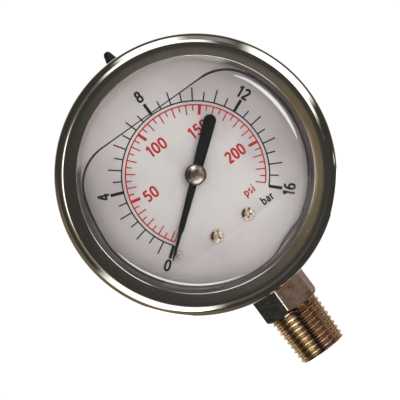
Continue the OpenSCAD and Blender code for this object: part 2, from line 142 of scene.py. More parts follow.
def times(tree, a, b):
    return calc(tree, "MULTIPLY", a, b)


def plus(tree, a, b):
    return calc(tree, "ADD", a, b)


def span(tree, value, low, high, to_low=0.0, to_high=1.0):
    """Eases from one value to another while the input goes from low to high."""
    inputs = {"Value": value, "From Min": low, "From Max": high, "To Min": to_low, "To Max": to_high}
    return add_node(tree, "MapRange", inputs, interpolation_type="SMOOTHSTEP").outputs["Result"]


def blend_colour(tree, factor, a, b, how="MIX"):
    a, b = (c if isinstance(c, bpy.types.NodeSocket) else (*c, 1) for c in (a, b))
    inputs = {0: factor, 6: a, 7: b}
    return add_node(tree, "Mix", inputs, data_type="RGBA", blend_type=how).outputs[2]


def tinted(tree, tint, mask, amount, colour):
    """Lays a colour over a tint where a mask is, by an amount."""
    return blend_colour(tree, times(tree, mask, amount), tint, colour)


def ramp(tree, value, *stops):
    node = add_node(tree, "ValToRGB", {0: value})
    ends = node.color_ramp.elements
    while len(ends) < len(stops):
        ends.new(0.5)
    for end, (at, colour) in zip(ends, stops):
        end.position = at
        end.color = (*colour, 1)
    return node.outputs["Color"]


def vector_math(tree, op, a, other):
    return add_node(tree, "VectorMath", {0: a, **other}, operation=op).outputs[0]


def parts_of(tree, vector):
    return add_node(tree, "SeparateXYZ", {0: vector}).outputs


def stretched(tree, vector, scale, turn=(0, 0, 0)):
    inputs = {"Vector": vector, "Scale": scale, "Rotation": [math.radians(a) for a in turn]}
    return add_node(tree, "Mapping", inputs).outputs[0]


def noise(tree, vector, scale, detail=3.0, rough=0.55):
    inputs = {"Vector": vector, "Scale": scale, "Detail": detail, "Roughness": rough}
    return add_node(tree, "TexNoise", inputs).outputs["Fac"]


def distance(tree, a, b):
    return calc(tree, "SQRT", plus(tree, times(tree, a, a), times(tree, b, b)))


def ring_vector(tree, vector):
    """Radius, bearing and depth about the dial's axis, as a vector for circular grain."""
    x, y, z = parts_of(tree, vector)
    u = calc(tree, "SUBTRACT", z, CENTRE)
    radius = distance(tree, x, u)
    turn = calc(tree, "ARCTAN2", x, u)
    return add_node(tree, "CombineXYZ", {0: radius, 1: turn, 2: y}).outputs[0], radius, turn


def bumped(tree, height, strength, distance_mm):
    inputs = {"Strength": strength, "Distance": distance_mm * MM, "Height": height}
    return add_node(tree, "Bump", inputs).outputs[0]


def new_material(name, **inputs):
    """A material with one Principled shader. Returns its parts and the place in millimetres."""
    made = bpy.data.materials.new(name)
    made.use_nodes = True
    tree = made.node_tree
    shader = tree.nodes["Principled BSDF"]
    set_inputs(tree, shader, **inputs)
    at = vector_math(tree, "SCALE", add_node(tree, "TexCoord", {}).outputs["Object"], {"Scale": 1 / MM})
    return made, tree, shader, at


def set_inputs(tree, shader, **inputs):
    names = {
        "colour": "Base Color",
        "metal": "Metallic",
        "rough": "Roughness",
        "ior": "IOR",
        "normal": "Normal",
        "specular": "Specular IOR Level",
        "specular_tint": "Specular Tint",
        "aniso": "Anisotropic",
        "tangent": "Tangent",
        "glass": "Transmission Weight",
        "glow_colour": "Emission Color",
        "glow": "Emission Strength",
    }
    for key, value in inputs.items():
        if isinstance(value, tuple) and len(value) == 3:
            value = (*value, 1)
        put(tree, shader.inputs[names[key]], value)


# ---------------------------------------------------------------- materials


def polished_steel():
    """Bright rolled steel with a warm cast, faint polishing lines and a few scuffs."""
    made, tree, shader, at = new_material("polished_steel", metal=1.0)
    rings = ring_vector(tree, at)[0]
    lines = noise(tree, stretched(tree, rings, (9, 0.7, 9)), 1.0, 4, 0.7)
    cloud = noise(tree, at, 0.16, 3)
    fine = noise(tree, at, 2.2, 5, 0.7)
    scuff = noise(tree, stretched(tree, at, (0.9, 0.9, 0.25), (0, 38, 0)), 1.0, 6, 0.75)
    scuff = span(tree, scuff, 0.60, 0.74)
    tint = ramp(
        tree, cloud, (0.3, (0.74, 0.69, 0.60)), (0.55, (0.80, 0.77, 0.72)), (0.75, (0.83, 0.80, 0.74))
    )
    tint = tinted(tree, tint, span(tree, fine, 0.55, 0.8), 0.35, (0.62, 0.55, 0.44))
    rough = plus(tree, span(tree, lines, 0.3, 0.8, 0.045, 0.12), times(tree, scuff, 0.16))
    height = plus(tree, times(tree, lines, 0.6), times(tree, scuff, 0.8))
    set_inputs(tree, shader, colour=tint, rough=rough, normal=bumped(tree, height, 0.12, 0.012))
    return made


def drawn_steel():
    """The case: the same steel, less polished, with the marks of drawing and handling."""
    made, tree, shader, at = new_material("drawn_steel", metal=1.0)
    rings = ring_vector(tree, at)[0]
    lines = noise(tree, stretched(tree, rings, (7, 0.9, 7)), 1.0, 4, 0.65)
    cloud = noise(tree, at, 0.12, 4)
    scratch = noise(tree, stretched(tree, at, (0.35, 2.6, 2.6), (0, 25, 20)), 1.0, 5, 0.7)
    scratch = span(tree, scratch, 0.62, 0.72)
    tint = ramp(tree, cloud, (0.3, (0.62, 0.59, 0.54)), (0.7, (0.74, 0.72, 0.68)))
    rough = plus(tree, span(tree, lines, 0.2, 0.8, 0.13, 0.27), times(tree, scratch, 0.12))
    height = calc(tree, "SUBTRACT", times(tree, lines, 0.7), scratch)
    set_inputs(tree, shader, colour=tint, rough=rough, normal=bumped(tree, height, 0.2, 0.02))
    return made


def clouded(name, cloud, stops, grain, rough, bump, **inputs):
    """A material whose colour follows one noise, and its roughness and relief another."""
    made, tree, shader, at = new_material(name, **inputs)
    grain = noise(tree, at, *grain)
    set_inputs(
        tree, shader, colour=ramp(tree, noise(tree, at, *cloud), *stops),
        rough=span(tree, grain, 0.3, 0.7, *rough), normal=bumped(tree, grain, *bump),
    )
    return made


def movement_brass(name, dark, light, low_rough, high_rough):
    """Rolled or machined copper alloys inside the case."""
    made, tree, shader, at = new_material(name, metal=1.0)
    grain = noise(tree, stretched(tree, at, (0.5, 2.5, 2.5)), 2.0, 4, 0.65)
    tarnish = noise(tree, at, 0.35, 4, 0.6)
    set_inputs(
        tree, shader, colour=ramp(tree, tarnish, (0.3, dark), (0.7, light)),
        rough=span(tree, grain, 0.25, 0.75, low_rough, high_rough),
        normal=bumped(tree, grain, 0.25, 0.02),
    )
    return made


def fitting_brass():
    """The stem: milled hexagon with mottled brown tarnish, and a yellower cut thread, both with painted
    light and shade.
    """
    made, tree, shader, at = new_material("fitting_brass", metal=1.0)
    x, y, z = parts_of(tree, at)
    radius = distance(tree, x, y)
    crest = plus(tree, THREAD_TOP_R - THREAD_LEN * TAPER, times(tree, z, TAPER))
    depth = calc(tree, "SUBTRACT", crest, radius)
    thread = span(tree, z, THREAD_LEN + 0.2, THREAD_LEN - 0.2)
    cloud = noise(tree, at, 0.42, 5, 0.62)
    speck = noise(tree, at, 2.4, 4, 0.7)
    milled = noise(tree, stretched(tree, at, (1.2, 1.2, 7.0)), 1.0, 3, 0.6)
    hexagon = ramp(
        tree, cloud, (0.30, (0.075, 0.046, 0.031)), (0.46, (0.142, 0.094, 0.066)),
        (0.58, (0.190, 0.136, 0.102)), (0.72, (0.104, 0.071, 0.050)),
    )
    # painted shade: the facets on the left are painted dark and bluish, the middle one is brown, and
    # those on the right are painted darker, with a dimmer specular tint
    across = calc(tree, "DIVIDE", x, radius)
    left_facet_shade = span(tree, across, -0.15, -0.20)
    dark = ramp(tree, cloud, (0.35, (0.080, 0.089, 0.094)), (0.65, (0.130, 0.143, 0.150)))
    hexagon = blend_colour(tree, left_facet_shade, hexagon, dark)
    # painted highlight along the hexagon's rounded corners, bright on the left and dull on the right
    corner = blend_colour(tree, span(tree, across, 0.2, 0.6), (0.90, 0.82, 0.74), (0.42, 0.33, 0.28))
    hexagon = blend_colour(tree, span(tree, radius, 7.97, 8.03), hexagon, corner)
    right_facet_shade = times(tree, span(tree, across, 0.74, 0.80), span(tree, z, THREAD_LEN, THREAD_LEN + 0.2))
    hexagon = blend_colour(tree, right_facet_shade, hexagon, (0.15, 0.105, 0.086))
    specular_tint = blend_colour(tree, right_facet_shade, (1.0, 1.0, 1.0), (0.56, 0.46, 0.41))
    gold = ramp(
        tree, cloud, (0.32, (0.66, 0.54, 0.39)), (0.5, (0.88, 0.77, 0.60)), (0.7, (0.96, 0.89, 0.75)),
    )
    # painted shade in the thread's roots, so that only the crests stay bright
    root_shade = span(tree, depth, 0.16, 0.52)
    gold = tinted(tree, gold, root_shade, 0.82, (0.17, 0.10, 0.055))
    # painted light and shade: the thread is lighter and darker in lengthwise bands by the side it faces
    wander = calc(tree, "MULTIPLY_ADD", cloud, 0.16, -0.08)
    band = calc(tree, "MULTIPLY_ADD", plus(tree, across, wander), 0.5, 0.5)
    painted_shading = ramp(
        tree, band, (0.00, (1.0, 0.86, 0.70)), (0.14, (1.0, 0.86, 0.70)), (0.19, (0.42, 0.36, 0.27)),
        (0.24, (1.0, 0.98, 0.92)), (0.40, (1.0, 0.98, 0.92)), (0.46, (0.30, 0.28, 0.26)),
        (0.54, (0.36, 0.32, 0.30)), (0.60, (1.0, 0.82, 0.74)), (0.71, (0.92, 0.73, 0.66)),
        (0.76, (0.34, 0.26, 0.23)), (0.83, (0.74, 0.60, 0.52)), (1.00, (0.92, 0.77, 0.66)),
    )
    gold = blend_colour(tree, 1.0, gold, painted_shading, "MULTIPLY")
    tint = blend_colour(tree, thread, hexagon, gold)
    tint = tinted(tree, tint, span(tree, speck, 0.56, 0.72), 0.5, (0.24, 0.16, 0.11))
    specked = times(tree, span(tree, speck, 0.5, 0.75), 0.15)
    rough = plus(tree, span(tree, milled, 0.3, 0.7, 0.16, 0.28), specked)
    rough = times(tree, rough, span(tree, thread, 0.0, 1.0, 1.0, 0.62))
    height = plus(tree, times(tree, milled, 0.5), speck)
    set_inputs(
        tree, shader, colour=tint, rough=rough, specular_tint=specular_tint,
        normal=bumped(tree, height, 0.28, 0.03),
    )
    return made


def nickel_brass():
    """Turned fastenings on the dial: nickel over brass, worn warm."""
    made, tree, shader, at = new_material("nickel_brass", metal=1.0)
    cloud = noise(tree, at, 1.1, 4, 0.6)
    speck = noise(tree, at, 5.0, 3, 0.6)
    tint = ramp(
        tree, cloud, (0.3, (0.27, 0.21, 0.16)), (0.52, (0.60, 0.50, 0.41)), (0.72, (0.95, 0.87, 0.76))
    )
    tint = tinted(tree, tint, span(tree, speck, 0.5, 0.7), 0.7, (0.10, 0.07, 0.05))
    set_inputs(
        tree, shader, colour=tint, rough=span(tree, speck, 0.3, 0.7, 0.12, 0.26),
        normal=bumped(tree, cloud, 0.2, 0.02),
    )
    return made


def hub_metal():
    """The pointer's bush: turned, with a painted bow-tie highlight and a dark rim."""
    made, tree, shader, at = new_material("hub_metal", metal=1.0)
    rings, radius, turn = ring_vector(tree, at)
    cuts = noise(tree, stretched(tree, rings, (14, 0.35, 1)), 1.0, 3, 0.6)
    cloud = noise(tree, at, 0.9, 4, 0.6)
    tint = ramp(
        tree, cloud, (0.3, (0.12, 0.082, 0.062)), (0.5, (0.20, 0.148, 0.115)),
        (0.72, (0.36, 0.285, 0.23)),
    )
    # painted highlight: bright bow-tie quarters on the turned face's outer part, darker quarters
    # between
    quarter = calc(tree, "SINE", calc(tree, "MULTIPLY_ADD", turn, 2.0, 1.1))
    quarter = plus(tree, quarter, times(tree, calc(tree, "SUBTRACT", cuts, 0.5), 1.6))
    outside = span(tree, radius, HUB_R - 1.7, HUB_R - 0.75, 0.18, 0.85)
    painted_bowtie_highlight = times(tree, span(tree, quarter, -0.2, 0.9), outside)
    tint = blend_colour(tree, painted_bowtie_highlight, tint, (0.95, 0.88, 0.80))
    rim = span(tree, radius, HUB_R - 0.55, HUB_R - 0.3)
    tint = tinted(tree, tint, rim, 0.92, (0.07, 0.05, 0.042))
    set_inputs(
        tree, shader, colour=tint, rough=span(tree, cuts, 0.3, 0.7, 0.12, 0.24), aniso=0.5,
        tangent=add_node(tree, "Tangent", {}, direction_type="RADIAL", axis="Y").outputs[0],
        normal=bumped(tree, cuts, 0.25, 0.015),
    )
    return made


def dial_paint():
    """White baked enamel, a little uneven, with painted shade: a darker lilac-grey towards the rim."""
    made, tree, shader, at = new_material("dial_paint", specular=0.3)
    radius, turn = ring_vector(tree, at)[1:]
    cloud = noise(tree, at, 0.075, 3, 0.55)
    diagonal_streaks = noise(tree, stretched(tree, at, (0.10, 0.1, 0.055), (0, -36, 0)), 1.0, 2, 0.5)
    fine = noise(tree, at, 1.6, 4, 0.6)
    tint = ramp(
        tree, cloud, (0.32, (0.655, 0.602, 0.622)), (0.52, (0.76, 0.716, 0.72)),
        (0.72, (0.80, 0.762, 0.75)),
    )
    # darker diagonal streaks across the dial
    tint = tinted(tree, tint, span(tree, diagonal_streaks, 0.52, 0.72), 0.34, (0.56, 0.51, 0.53))
    # painted shade: darker lilac-grey towards the rim
    edge = times(tree, span(tree, radius, 15.0, 29.0), 0.5)
    tint = blend_colour(tree, edge, tint, (0.51, 0.455, 0.472))

    # painted shade: darker below the liquid's level, most on the lower left towards the rim, less on
    # the upper right
    def towards(bearing, low, high):
        away = calc(tree, "SUBTRACT", turn, math.radians(bearing))
        return span(tree, calc(tree, "COSINE", away), low, high)

    left_low, right_up = towards(250, 0.15, 0.8), towards(70, 0.45, 0.9)
    broad = span(tree, radius, 9.0, 21.5, 0.0, 0.34)
    narrow = span(tree, radius, 22.0, 27.5, 0.0, 0.42)
    painted_shading = times(tree, left_low, plus(tree, broad, narrow))
    painted_shading = calc(tree, "MULTIPLY_ADD", right_up, broad, painted_shading)
    below = span(tree, parts_of(tree, at)[2], CENTRE + LEVEL + 0.6, CENTRE + LEVEL - 0.6)
    tint = tinted(tree, tint, painted_shading, below, (0.30, 0.262, 0.28))
    tint = tinted(tree, tint, span(tree, fine, 0.5, 0.8), 0.08, (0.6, 0.57, 0.58))
    set_inputs(
        tree, shader, colour=tint, rough=span(tree, fine, 0.3, 0.7, 0.42, 0.55),
        normal=bumped(tree, noise(tree, at, 4.0, 2), 0.08, 0.01),
    )
    return made


def ink(name, dark, light):
    patch = (2.5, 4, 0.65)
    stops = ((0.35, dark), (0.75, light))
    return clouded(name, patch, stops, patch, (0.4, 0.6), (0.15, 0.01), specular=0.25)


def pointer_paint():
    """Satin black stove enamel, greyer in patches."""
    made, tree, shader, at = new_material("pointer_paint", specular=0.18)
    patch = noise(tree, at, 1.3, 5, 0.7)
    fine = noise(tree, at, 6.0, 3, 0.6)
    tint = ramp(
        tree, patch, (0.35, (0.005, 0.006, 0.006)), (0.62, (0.010, 0.012, 0.012)),
        (0.8, (0.022, 0.024, 0.023)),
    )
    set_inputs(
        tree, shader, colour=tint, rough=span(tree, patch, 0.3, 0.7, 0.42, 0.6),
        normal=bumped(tree, fine, 0.25, 0.015),
    )
    return made


def gasket_rubber():
    """Light rubber above the liquid. Below the level it is wet and looks dark through it. Its faint
    glow is painted light.
    """
    made, tree, shader, at = new_material("gasket_rubber", specular=0.3)
    z = parts_of(tree, at)[2]
    rings = ring_vector(tree, at)[0]
    streak = noise(tree, stretched(tree, rings, (3.5, 2.2, 1)), 1.0, 4, 0.6)
    dry = ramp(tree, streak, (0.35, (0.52, 0.48, 0.46)), (0.65, (0.68, 0.64, 0.61)))
    wet = ramp(
        tree, streak, (0.3, (0.10, 0.085, 0.08)), (0.55, (0.22, 0.19, 0.18)), (0.75, (0.38, 0.34, 0.32))
    )
    tint = blend_colour(tree, span(tree, z, CENTRE + LEVEL - 1.8, CENTRE + LEVEL + 0.6), wet, dry)
    set_inputs(
        tree, shader, colour=tint, rough=span(tree, streak, 0.3, 0.7, 0.3, 0.5),
        normal=bumped(tree, streak, 0.2, 0.02), glow_colour=tint, glow=0.10,
    )
    return made


def wet_dark(name, dark, mid, light, glow=0.0):
    """What the liquid's edge shows: the case wall in streaks, with a glow that is painted light."""
    made, tree, shader, at = new_material(name, specular=0.35)
    rings = ring_vector(tree, at)[0]
    streak = noise(tree, stretched(tree, rings, (5.0, 2.4, 1)), 1.0, 4, 0.65)
    tint = ramp(tree, streak, (0.3, dark), (0.52, mid), (0.72, light))
    set_inputs(
        tree, shader, colour=tint, rough=span(tree, streak, 0.3, 0.7, 0.18, 0.34),
        normal=bumped(tree, streak, 0.15, 0.02), glow_colour=tint, glow=glow,
    )
    return made


def window_glass():
    """Clear window with faint wiping marks."""
    made, tree, shader, at = new_material(
        "window_glass", glass=1.0, ior=1.47, colour=(0.985, 0.992, 0.985)
    )
    wipe = noise(tree, stretched(tree, at, (0.25, 1, 1.1), (0, 30, 0)), 1.0, 4, 0.6)
    set_inputs(tree, shader, rough=span(tree, wipe, 0.62, 0.85, 0.0, 0.05))
    return made


STEEL = polished_steel()
CASE_STEEL = drawn_steel()
SMALL_STEEL = clouded(
    "machined_steel", (0.5, 3), ((0.3, (0.46, 0.46, 0.45)), (0.7, (0.64, 0.64, 0.63))),
    (3.0, 4, 0.6), (0.2, 0.38), (0.2, 0.02), metal=1.0,
)
BRASS = movement_brass("rolled_brass", (0.52, 0.38, 0.17), (0.78, 0.62, 0.32), 0.2, 0.36)
BRONZE = movement_brass("drawn_bronze", (0.40, 0.24, 0.13), (0.66, 0.44, 0.25), 0.22, 0.4)
SPRING = movement_brass("spring_bronze", (0.50, 0.34, 0.16), (0.74, 0.54, 0.28), 0.15, 0.28)
FITTING = fitting_brass()
NICKEL = nickel_brass()
HUB = hub_metal()
DIAL = dial_paint()
BLACK_INK = ink("black_ink", (0.008, 0.008, 0.009), (0.03, 0.029, 0.03))
RED_INK = ink("red_ink", (0.50, 0.018, 0.022), (0.62, 0.045, 0.045))
POINTER_PAINT = pointer_paint()
BLACK_RUBBER = clouded(
    "black_rubber", (1.2, 4, 0.65), ((0.4, (0.018, 0.017, 0.016)), (0.75, (0.045, 0.042, 0.038))),
    (7.0, 3, 0.7), (0.55, 0.8), (0.35, 0.03), specular=0.3,
)
GASKET = gasket_rubber()
# the wet rim's glow is painted light, lifting it out of the shade under the lip
WET = wet_dark("wet_rim", (0.04, 0.031, 0.029), (0.10, 0.082, 0.077), (0.25, 0.215, 0.205), 0.32)
LINE = wet_dark("liquid_line", (0.020, 0.015, 0.014), (0.040, 0.030, 0.028), (0.075, 0.058, 0.052))
# painted highlight: a near-white ribbon with a faint glow
GLINT = wet_dark("meniscus_light", (0.78, 0.76, 0.73), (0.90, 0.88, 0.85), (0.96, 0.95, 0.92), 0.11)
GLASS = window_glass()

BY_SLOT = {
    "stainless": CASE_STEEL,
    "steel": SMALL_STEEL,
    "brass": BRASS,
    "bronze": BRONZE,
    "spring_bronze": SPRING,
    "nickel_brass": NICKEL,
    "window": GLASS,
    "light_rubber": GASKET,
    "black_rubber": BLACK_RUBBER,
    "dial_white": DIAL,
    "pointer_black": POINTER_PAINT,
}
SLOT_OF = {row["node"]: row["material_slot"] for row in frame["record"]["subparts"]}


# ---------------------------------------------------------------- mesh helpers


def new_object(name, data):
    made = bpy.data.objects.new(name, data)
    bpy.context.scene.collection.objects.link(made)
    return made


def loose(name, bm):
    """An object made from a bmesh, which is freed."""
    mesh = bpy.data.meshes.new(name)
    bm.to_mesh(mesh)
    bm.free()
    return new_object(name, mesh)


def shade(mesh, sharp):
    """Smooth shading, with the edges over an angle kept sharp."""
    mesh.polygons.foreach_set("use_smooth", [True] * len(mesh.polygons))
    mesh.set_sharp_from_angle(angle=math.radians(sharp))


def finished(name, bm, material, body, sharp=32.0, replaces=()):
    """Turns a bmesh made in metres into a piece that rides on a body."""
    bmesh.ops.remove_doubles(bm, verts=bm.verts, dist=1e-7)
    bmesh.ops.dissolve_degenerate(bm, edges=bm.edges, dist=1e-8)
    bmesh.ops.recalc_face_normals(bm, faces=bm.faces)
    piece = loose(name, bm)
    shade(piece.data, sharp)
    piece.data.materials.append(material)
    if body:
        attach(piece, body)
    if replaces:
        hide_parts(*replaces)
    return piece


def join(bm, a, b):
    """Faces between two closed rings of vertices."""
    for k in range(len(a)):
        m = (k + 1) % len(a)
        bm.faces.new((a[k], a[m], b[m], b[k]))


def stem_point(r, a, z):
    """A point about the stem's axis, from millimetres to the row frame's metres."""
    return r * math.cos(a) * MM, r * math.sin(a) * MM, z * MM


def rounded(points, closed=True, steps=5):
    """Rounds the corners of a line of (x, y, radius) points. Returns (x, y) points."""
    out = []
    n = len(points)
    for i, (x, y, r) in enumerate(points):
        p = np.array((x, y))
        if r <= 0 or (not closed and i in (0, n - 1)):
            out.append((x, y))
            continue
        a = np.array(points[i - 1][:2]) - p
        b = np.array(points[(i + 1) % n][:2]) - p
        la, lb = np.linalg.norm(a), np.linalg.norm(b)
        a, b = a / la, b / lb
        half = math.acos(max(-1, min(1, float(a @ b)))) / 2
        if half > math.radians(89.5):
            out.append((x, y))
            continue
        cut = min(r / math.tan(half), la * 0.49, lb * 0.49)
        radius = cut * math.tan(half)
        middle = p + (a + b) / np.linalg.norm(a + b) * radius / math.sin(half)
        start, end = p + a * cut - middle, p + b * cut - middle
        # a narrow strip beside each rounding keeps the flat next to it evenly lit
        if la * 0.49 > cut + 0.06:
            out.append(tuple(float(v) for v in p + a * (cut + 0.05)))
        sweep = math.atan2(start[0] * end[1] - start[1] * end[0], float(start @ end))
        for k in range(steps + 1):
            c, s = math.cos(sweep * k / steps), math.sin(sweep * k / steps)
            q = middle + (start[0] * c - start[1] * s, start[0] * s + start[1] * c)
            out.append((float(q[0]), float(q[1])))
        if lb * 0.49 > cut + 0.06:
            out.append(tuple(float(v) for v in p + b * (cut + 0.05)))
    return out


def arc_points(cx, cy, r, a0, a1, steps):
    angles = np.radians(np.linspace(a0, a1, steps + 1))
    return [(cx + r * math.cos(a), cy + r * math.sin(a)) for a in angles]


def lathe(profile, steps, at=(0.0, 0.0), closed=True, axis="dial"):
    """Turns (radius, distance) points about the dial's axis, or about the stem's for axis 'stem'."""
    bm = bmesh.new()

    def put_point(r, d, a):
        if axis == "stem":
            return stem_point(r, a, d)
        return place(at[0] + r * math.sin(a), d, at[1] + r * math.cos(a))

    rings = []
    for r, d in profile:
        if r < 1e-6:
            rings.append([bm.verts.new(put_point(0, d, 0))] * steps)
        else:
            rings.append([bm.verts.new(put_point(r, d, 2 * math.pi * k / steps)) for k in range(steps)])
    count = len(rings) if closed else len(rings) - 1
    for i in range(count):
        a, b = rings[i], rings[(i + 1) % len(rings)]
        for k in range(steps):
            m = (k + 1) % steps
            corners = [a[k], a[m], b[m], b[k]]
            kept = [v for j, v in enumerate(corners) if v not in corners[:j]]
            if len(kept) > 2:
                bm.faces.new(kept)
    return bm


def add_slab(bm, outline, back, front, bevel):
    """A flat plate with this outline of (x, u) points, facing forward, with bevelled front edges."""
    points = np.array(outline, float)
    following = np.roll(points, -1, 0)
    ahead = following - points
    ahead /= np.linalg.norm(ahead, axis=1)[:, None]
    behind = np.roll(ahead, 1, 0)
    area = float((points[:, 0] * following[:, 1] - following[:, 0] * points[:, 1]).sum())
    way = 1.0 if area > 0 else -1.0
    both = ahead + behind
    inward = way * np.stack([-both[:, 1], both[:, 0]], 1)
    scale = np.clip((inward**2).sum(1) / 2, 0.4, None)
    inset = points + inward / scale[:, None] * bevel
    rows = [(points, back), (points, front - bevel * 0.8), (inset, front)]
    rings = [[bm.verts.new(place(x, f, u)) for x, u in row] for row, f in rows]
    for a, b in zip(rings, rings[1:]):
        join(bm, a, b)
    bm.faces.new(rings[0][::-1])
    bm.faces.new(rings[-1])


def add_ribbon(bm, line, widths, back, front, closed=False):
    """A raised stroke along a line of (x, u) points, with a width at each point."""
    points = np.array(line, float)
    widths = np.broadcast_to(np.array(widths, float), (len(points),))
    ahead = np.roll(points, -1, 0) - points
    if not closed:
        ahead[-1] = ahead[-2]
    ahead /= np.linalg.norm(ahead, axis=1)[:, None]
    behind = np.roll(ahead, 1, 0)
    if not closed:
        behind[0] = ahead[0]
    across = np.stack([-(ahead + behind)[:, 1], (ahead + behind)[:, 0]], 1)
    length = np.linalg.norm(across, axis=1)
    across = across / length[:, None]
    stretch = 1 / np.clip(length / 2, 0.55, 1)
    left = points + across * (widths * stretch / 2)[:, None]
    right = points - across * (widths * stretch / 2)[:, None]
    rows = [
        [bm.verts.new(place(x, f, u)) for x, u in edge]
        for edge, f in ((left, back), (left, front), (right, front), (right, back))
    ]
    count = len(points) if closed else len(points) - 1
    for k in range(count):
        m = (k + 1) % len(points)
        for a, b in zip(rows, rows[1:] + rows[:1]):
            bm.faces.new((a[k], a[m], b[m], b[k]))
    if not closed:
        for k in (0, -1):
            bm.faces.new([row[k] for row in rows])


def cut_with(piece, cutters):
    """Takes the cutters away from a piece for good."""
    for cutter in cutters:
        step = piece.modifiers.new("cut", "BOOLEAN")
        step.operation = "DIFFERENCE"
        step.solver = "EXACT"
        step.object = cutter
    seen = piece.evaluated_get(bpy.context.evaluated_depsgraph_get())
    result = bpy.data.meshes.new_from_object(seen)
    piece.modifiers.clear()
    piece.data = result
    shade(result, 32)
    for cutter in cutters:
        bpy.data.objects.remove(cutter)


def bar_cutter(r, start, end, steps=96):
    """A loose cylinder between two points in millimetres, to cut with."""
    bm = bmesh.new()
    start, end = Vector(start) * MM, Vector(end) * MM
    bmesh.ops.create_cone(
        bm, cap_ends=True, segments=steps, radius1=r * MM, radius2=r * MM, depth=(end - start).length
    )
    turn = (end - start).to_track_quat("Z", "Y").to_matrix().to_4x4()
    bmesh.ops.transform(bm, matrix=Matrix.Translation((start + end) / 2) @ turn, verts=bm.verts)
    return loose("cutter", bm)


# ---------------------------------------------------------------- bezel, window and case


def make_bezel():
    roll_f = BEZEL_FRONT - ROLL_W
    lip = LENS_FRONT + 0.05
    outer = arc_points(CREASE_R, roll_f, ROLL_W, 0, 90, 40)
    band = [
        (CREASE_R - 0.35, BEZEL_FRONT - 0.012, 0), (CREASE_R - 1.3, BEZEL_FRONT - 0.09, 0),
        (CREASE_R - 2.2, BEZEL_FRONT - 0.165, 0), (WINDOW_R + 0.1, BEZEL_FRONT - 0.25, 0.1),
        (WINDOW_R, BEZEL_FRONT - 0.42, 0.06), (WINDOW_R, lip, 0.06),
    ]
    inner = arc_points(CREASE_R, roll_f, ROLL_W - SHEET, 90, 0, 16)
    shape = (
        [(FLANGE_R - 0.8, BEZEL_BACK, 0.12), (BEZEL_R, BEZEL_BACK, 0.55)]
        + [(x, y, 0) for x, y in outer]
        + band
        + [(WINDOW_R + 0.9, lip, 0)]
        + [(x, y, 0) for x, y in inner]
        + [(BEZEL_R - SHEET, FLANGE_FRONT - SHEET, 0), (FLANGE_R - 0.8, FLANGE_FRONT - SHEET, 0.12)]
    )
    bm = lathe(rounded(shape, steps=7), 288)
    piece = finished("bezel", bm, STEEL, "case", 40, ["bezel_ring"])
    piece.visible_shadow = False


def make_window():
    shape = [
        (0, LENS_BACK, 0), (LENS_R, LENS_BACK, 0.25), (LENS_R, LENS_FRONT, 0.25), (0, LENS_FRONT, 0),
    ]
    bm = lathe(rounded(shape, closed=False, steps=4), 192, closed=False)
    piece = finished("window", bm, GLASS, "case", 30, ["lens"])
    piece.visible_shadow = False


def make_case():
    inner = CASE_R - SHEET
    shape = [
        (0, CASE_BACK, 0), (CASE_R, CASE_BACK, 2.4), (CASE_R, FLANGE_FRONT - SHEET, 0.25),
        (FLANGE_R, FLANGE_FRONT - SHEET, 0.2), (FLANGE_R, FLANGE_FRONT, 0.2),
        (inner, FLANGE_FRONT, 0.45), (inner, CASE_BACK + SHEET, 1.7), (0, CASE_BACK + SHEET, 0),
    ]
    bm = lathe(rounded(shape, closed=False, steps=12), 256, closed=False)
    piece = finished("case_cup", bm, CASE_STEEL, "case", 32, ["case"])
    low, high = CENTRE - CASE_R, CENTRE + CASE_R
    cutters = [
        bar_cutter(NECK_R + 0.1, (0, 0, low - 2), (0, 0, low + 6)),
        bar_cutter(PLUG_HOLE_R, (0, 0, high - 6), (0, 0, high + 3)),
    ]
    for side in (-1, 1):
        ends = [polar(180 - side * 24, r) for r in (CASE_R - 3, CASE_R + 3)]
        cutters.append(bar_cutter(1.35, *((x, 0, CENTRE + u) for x, u in ends), 48))
    cut_with(piece, cutters)


def make_fill_plug():
    """Moulded rubber plug: collar, tapered nipple with a small tip, and the barb inside."""
    inner = CASE_R - SHEET
    shape = [
        (0, inner - 1.9, 0), (3.8, inner - 1.9, 0.3), (4.2, inner - 1.2, 0.3),
        (4.2, inner - 0.35, 0.1), (PLUG_HOLE_R, inner - 0.3, 0.1), (PLUG_HOLE_R, CASE_R + 0.02, 0.1),
        (5.0, CASE_R - 0.45, 0.1), (5.0, CASE_R + 1.1, 0.45), (4.4, CASE_R + 1.6, 0.3),
        (2.55, CASE_R + 1.75, 0.5), (1.62, CASE_R + 4.2, 1.2), (0.95, PLUG_TOP - 0.55, 0.4),
        (0.5, PLUG_TOP, 0.35), (0, PLUG_TOP, 0),
    ]
    profile = [(r, CENTRE + d) for r, d in rounded(shape, closed=False, steps=5)]
    bm = lathe(profile, 96, closed=False, axis="stem")
    piece = finished("filling_plug", bm, BLACK_RUBBER, "case", 40, ["fill_plug"])
    # the groove follows the case's round wall, less the hole that the plug sits in
    bm = lathe([(CASE_R, -20), (CASE_R, 20), (inner, 20), (inner, -20)], 256)
    bmesh.ops.recalc_face_normals(bm, faces=bm.faces)
    wall = loose("wall", bm)
    cut_with(wall, [bar_cutter(PLUG_HOLE_R, (0, 0, CENTRE + 20), (0, 0, CENTRE + 40))])
    cut_with(piece, [wall])


# ---------------------------------------------------------------- stem


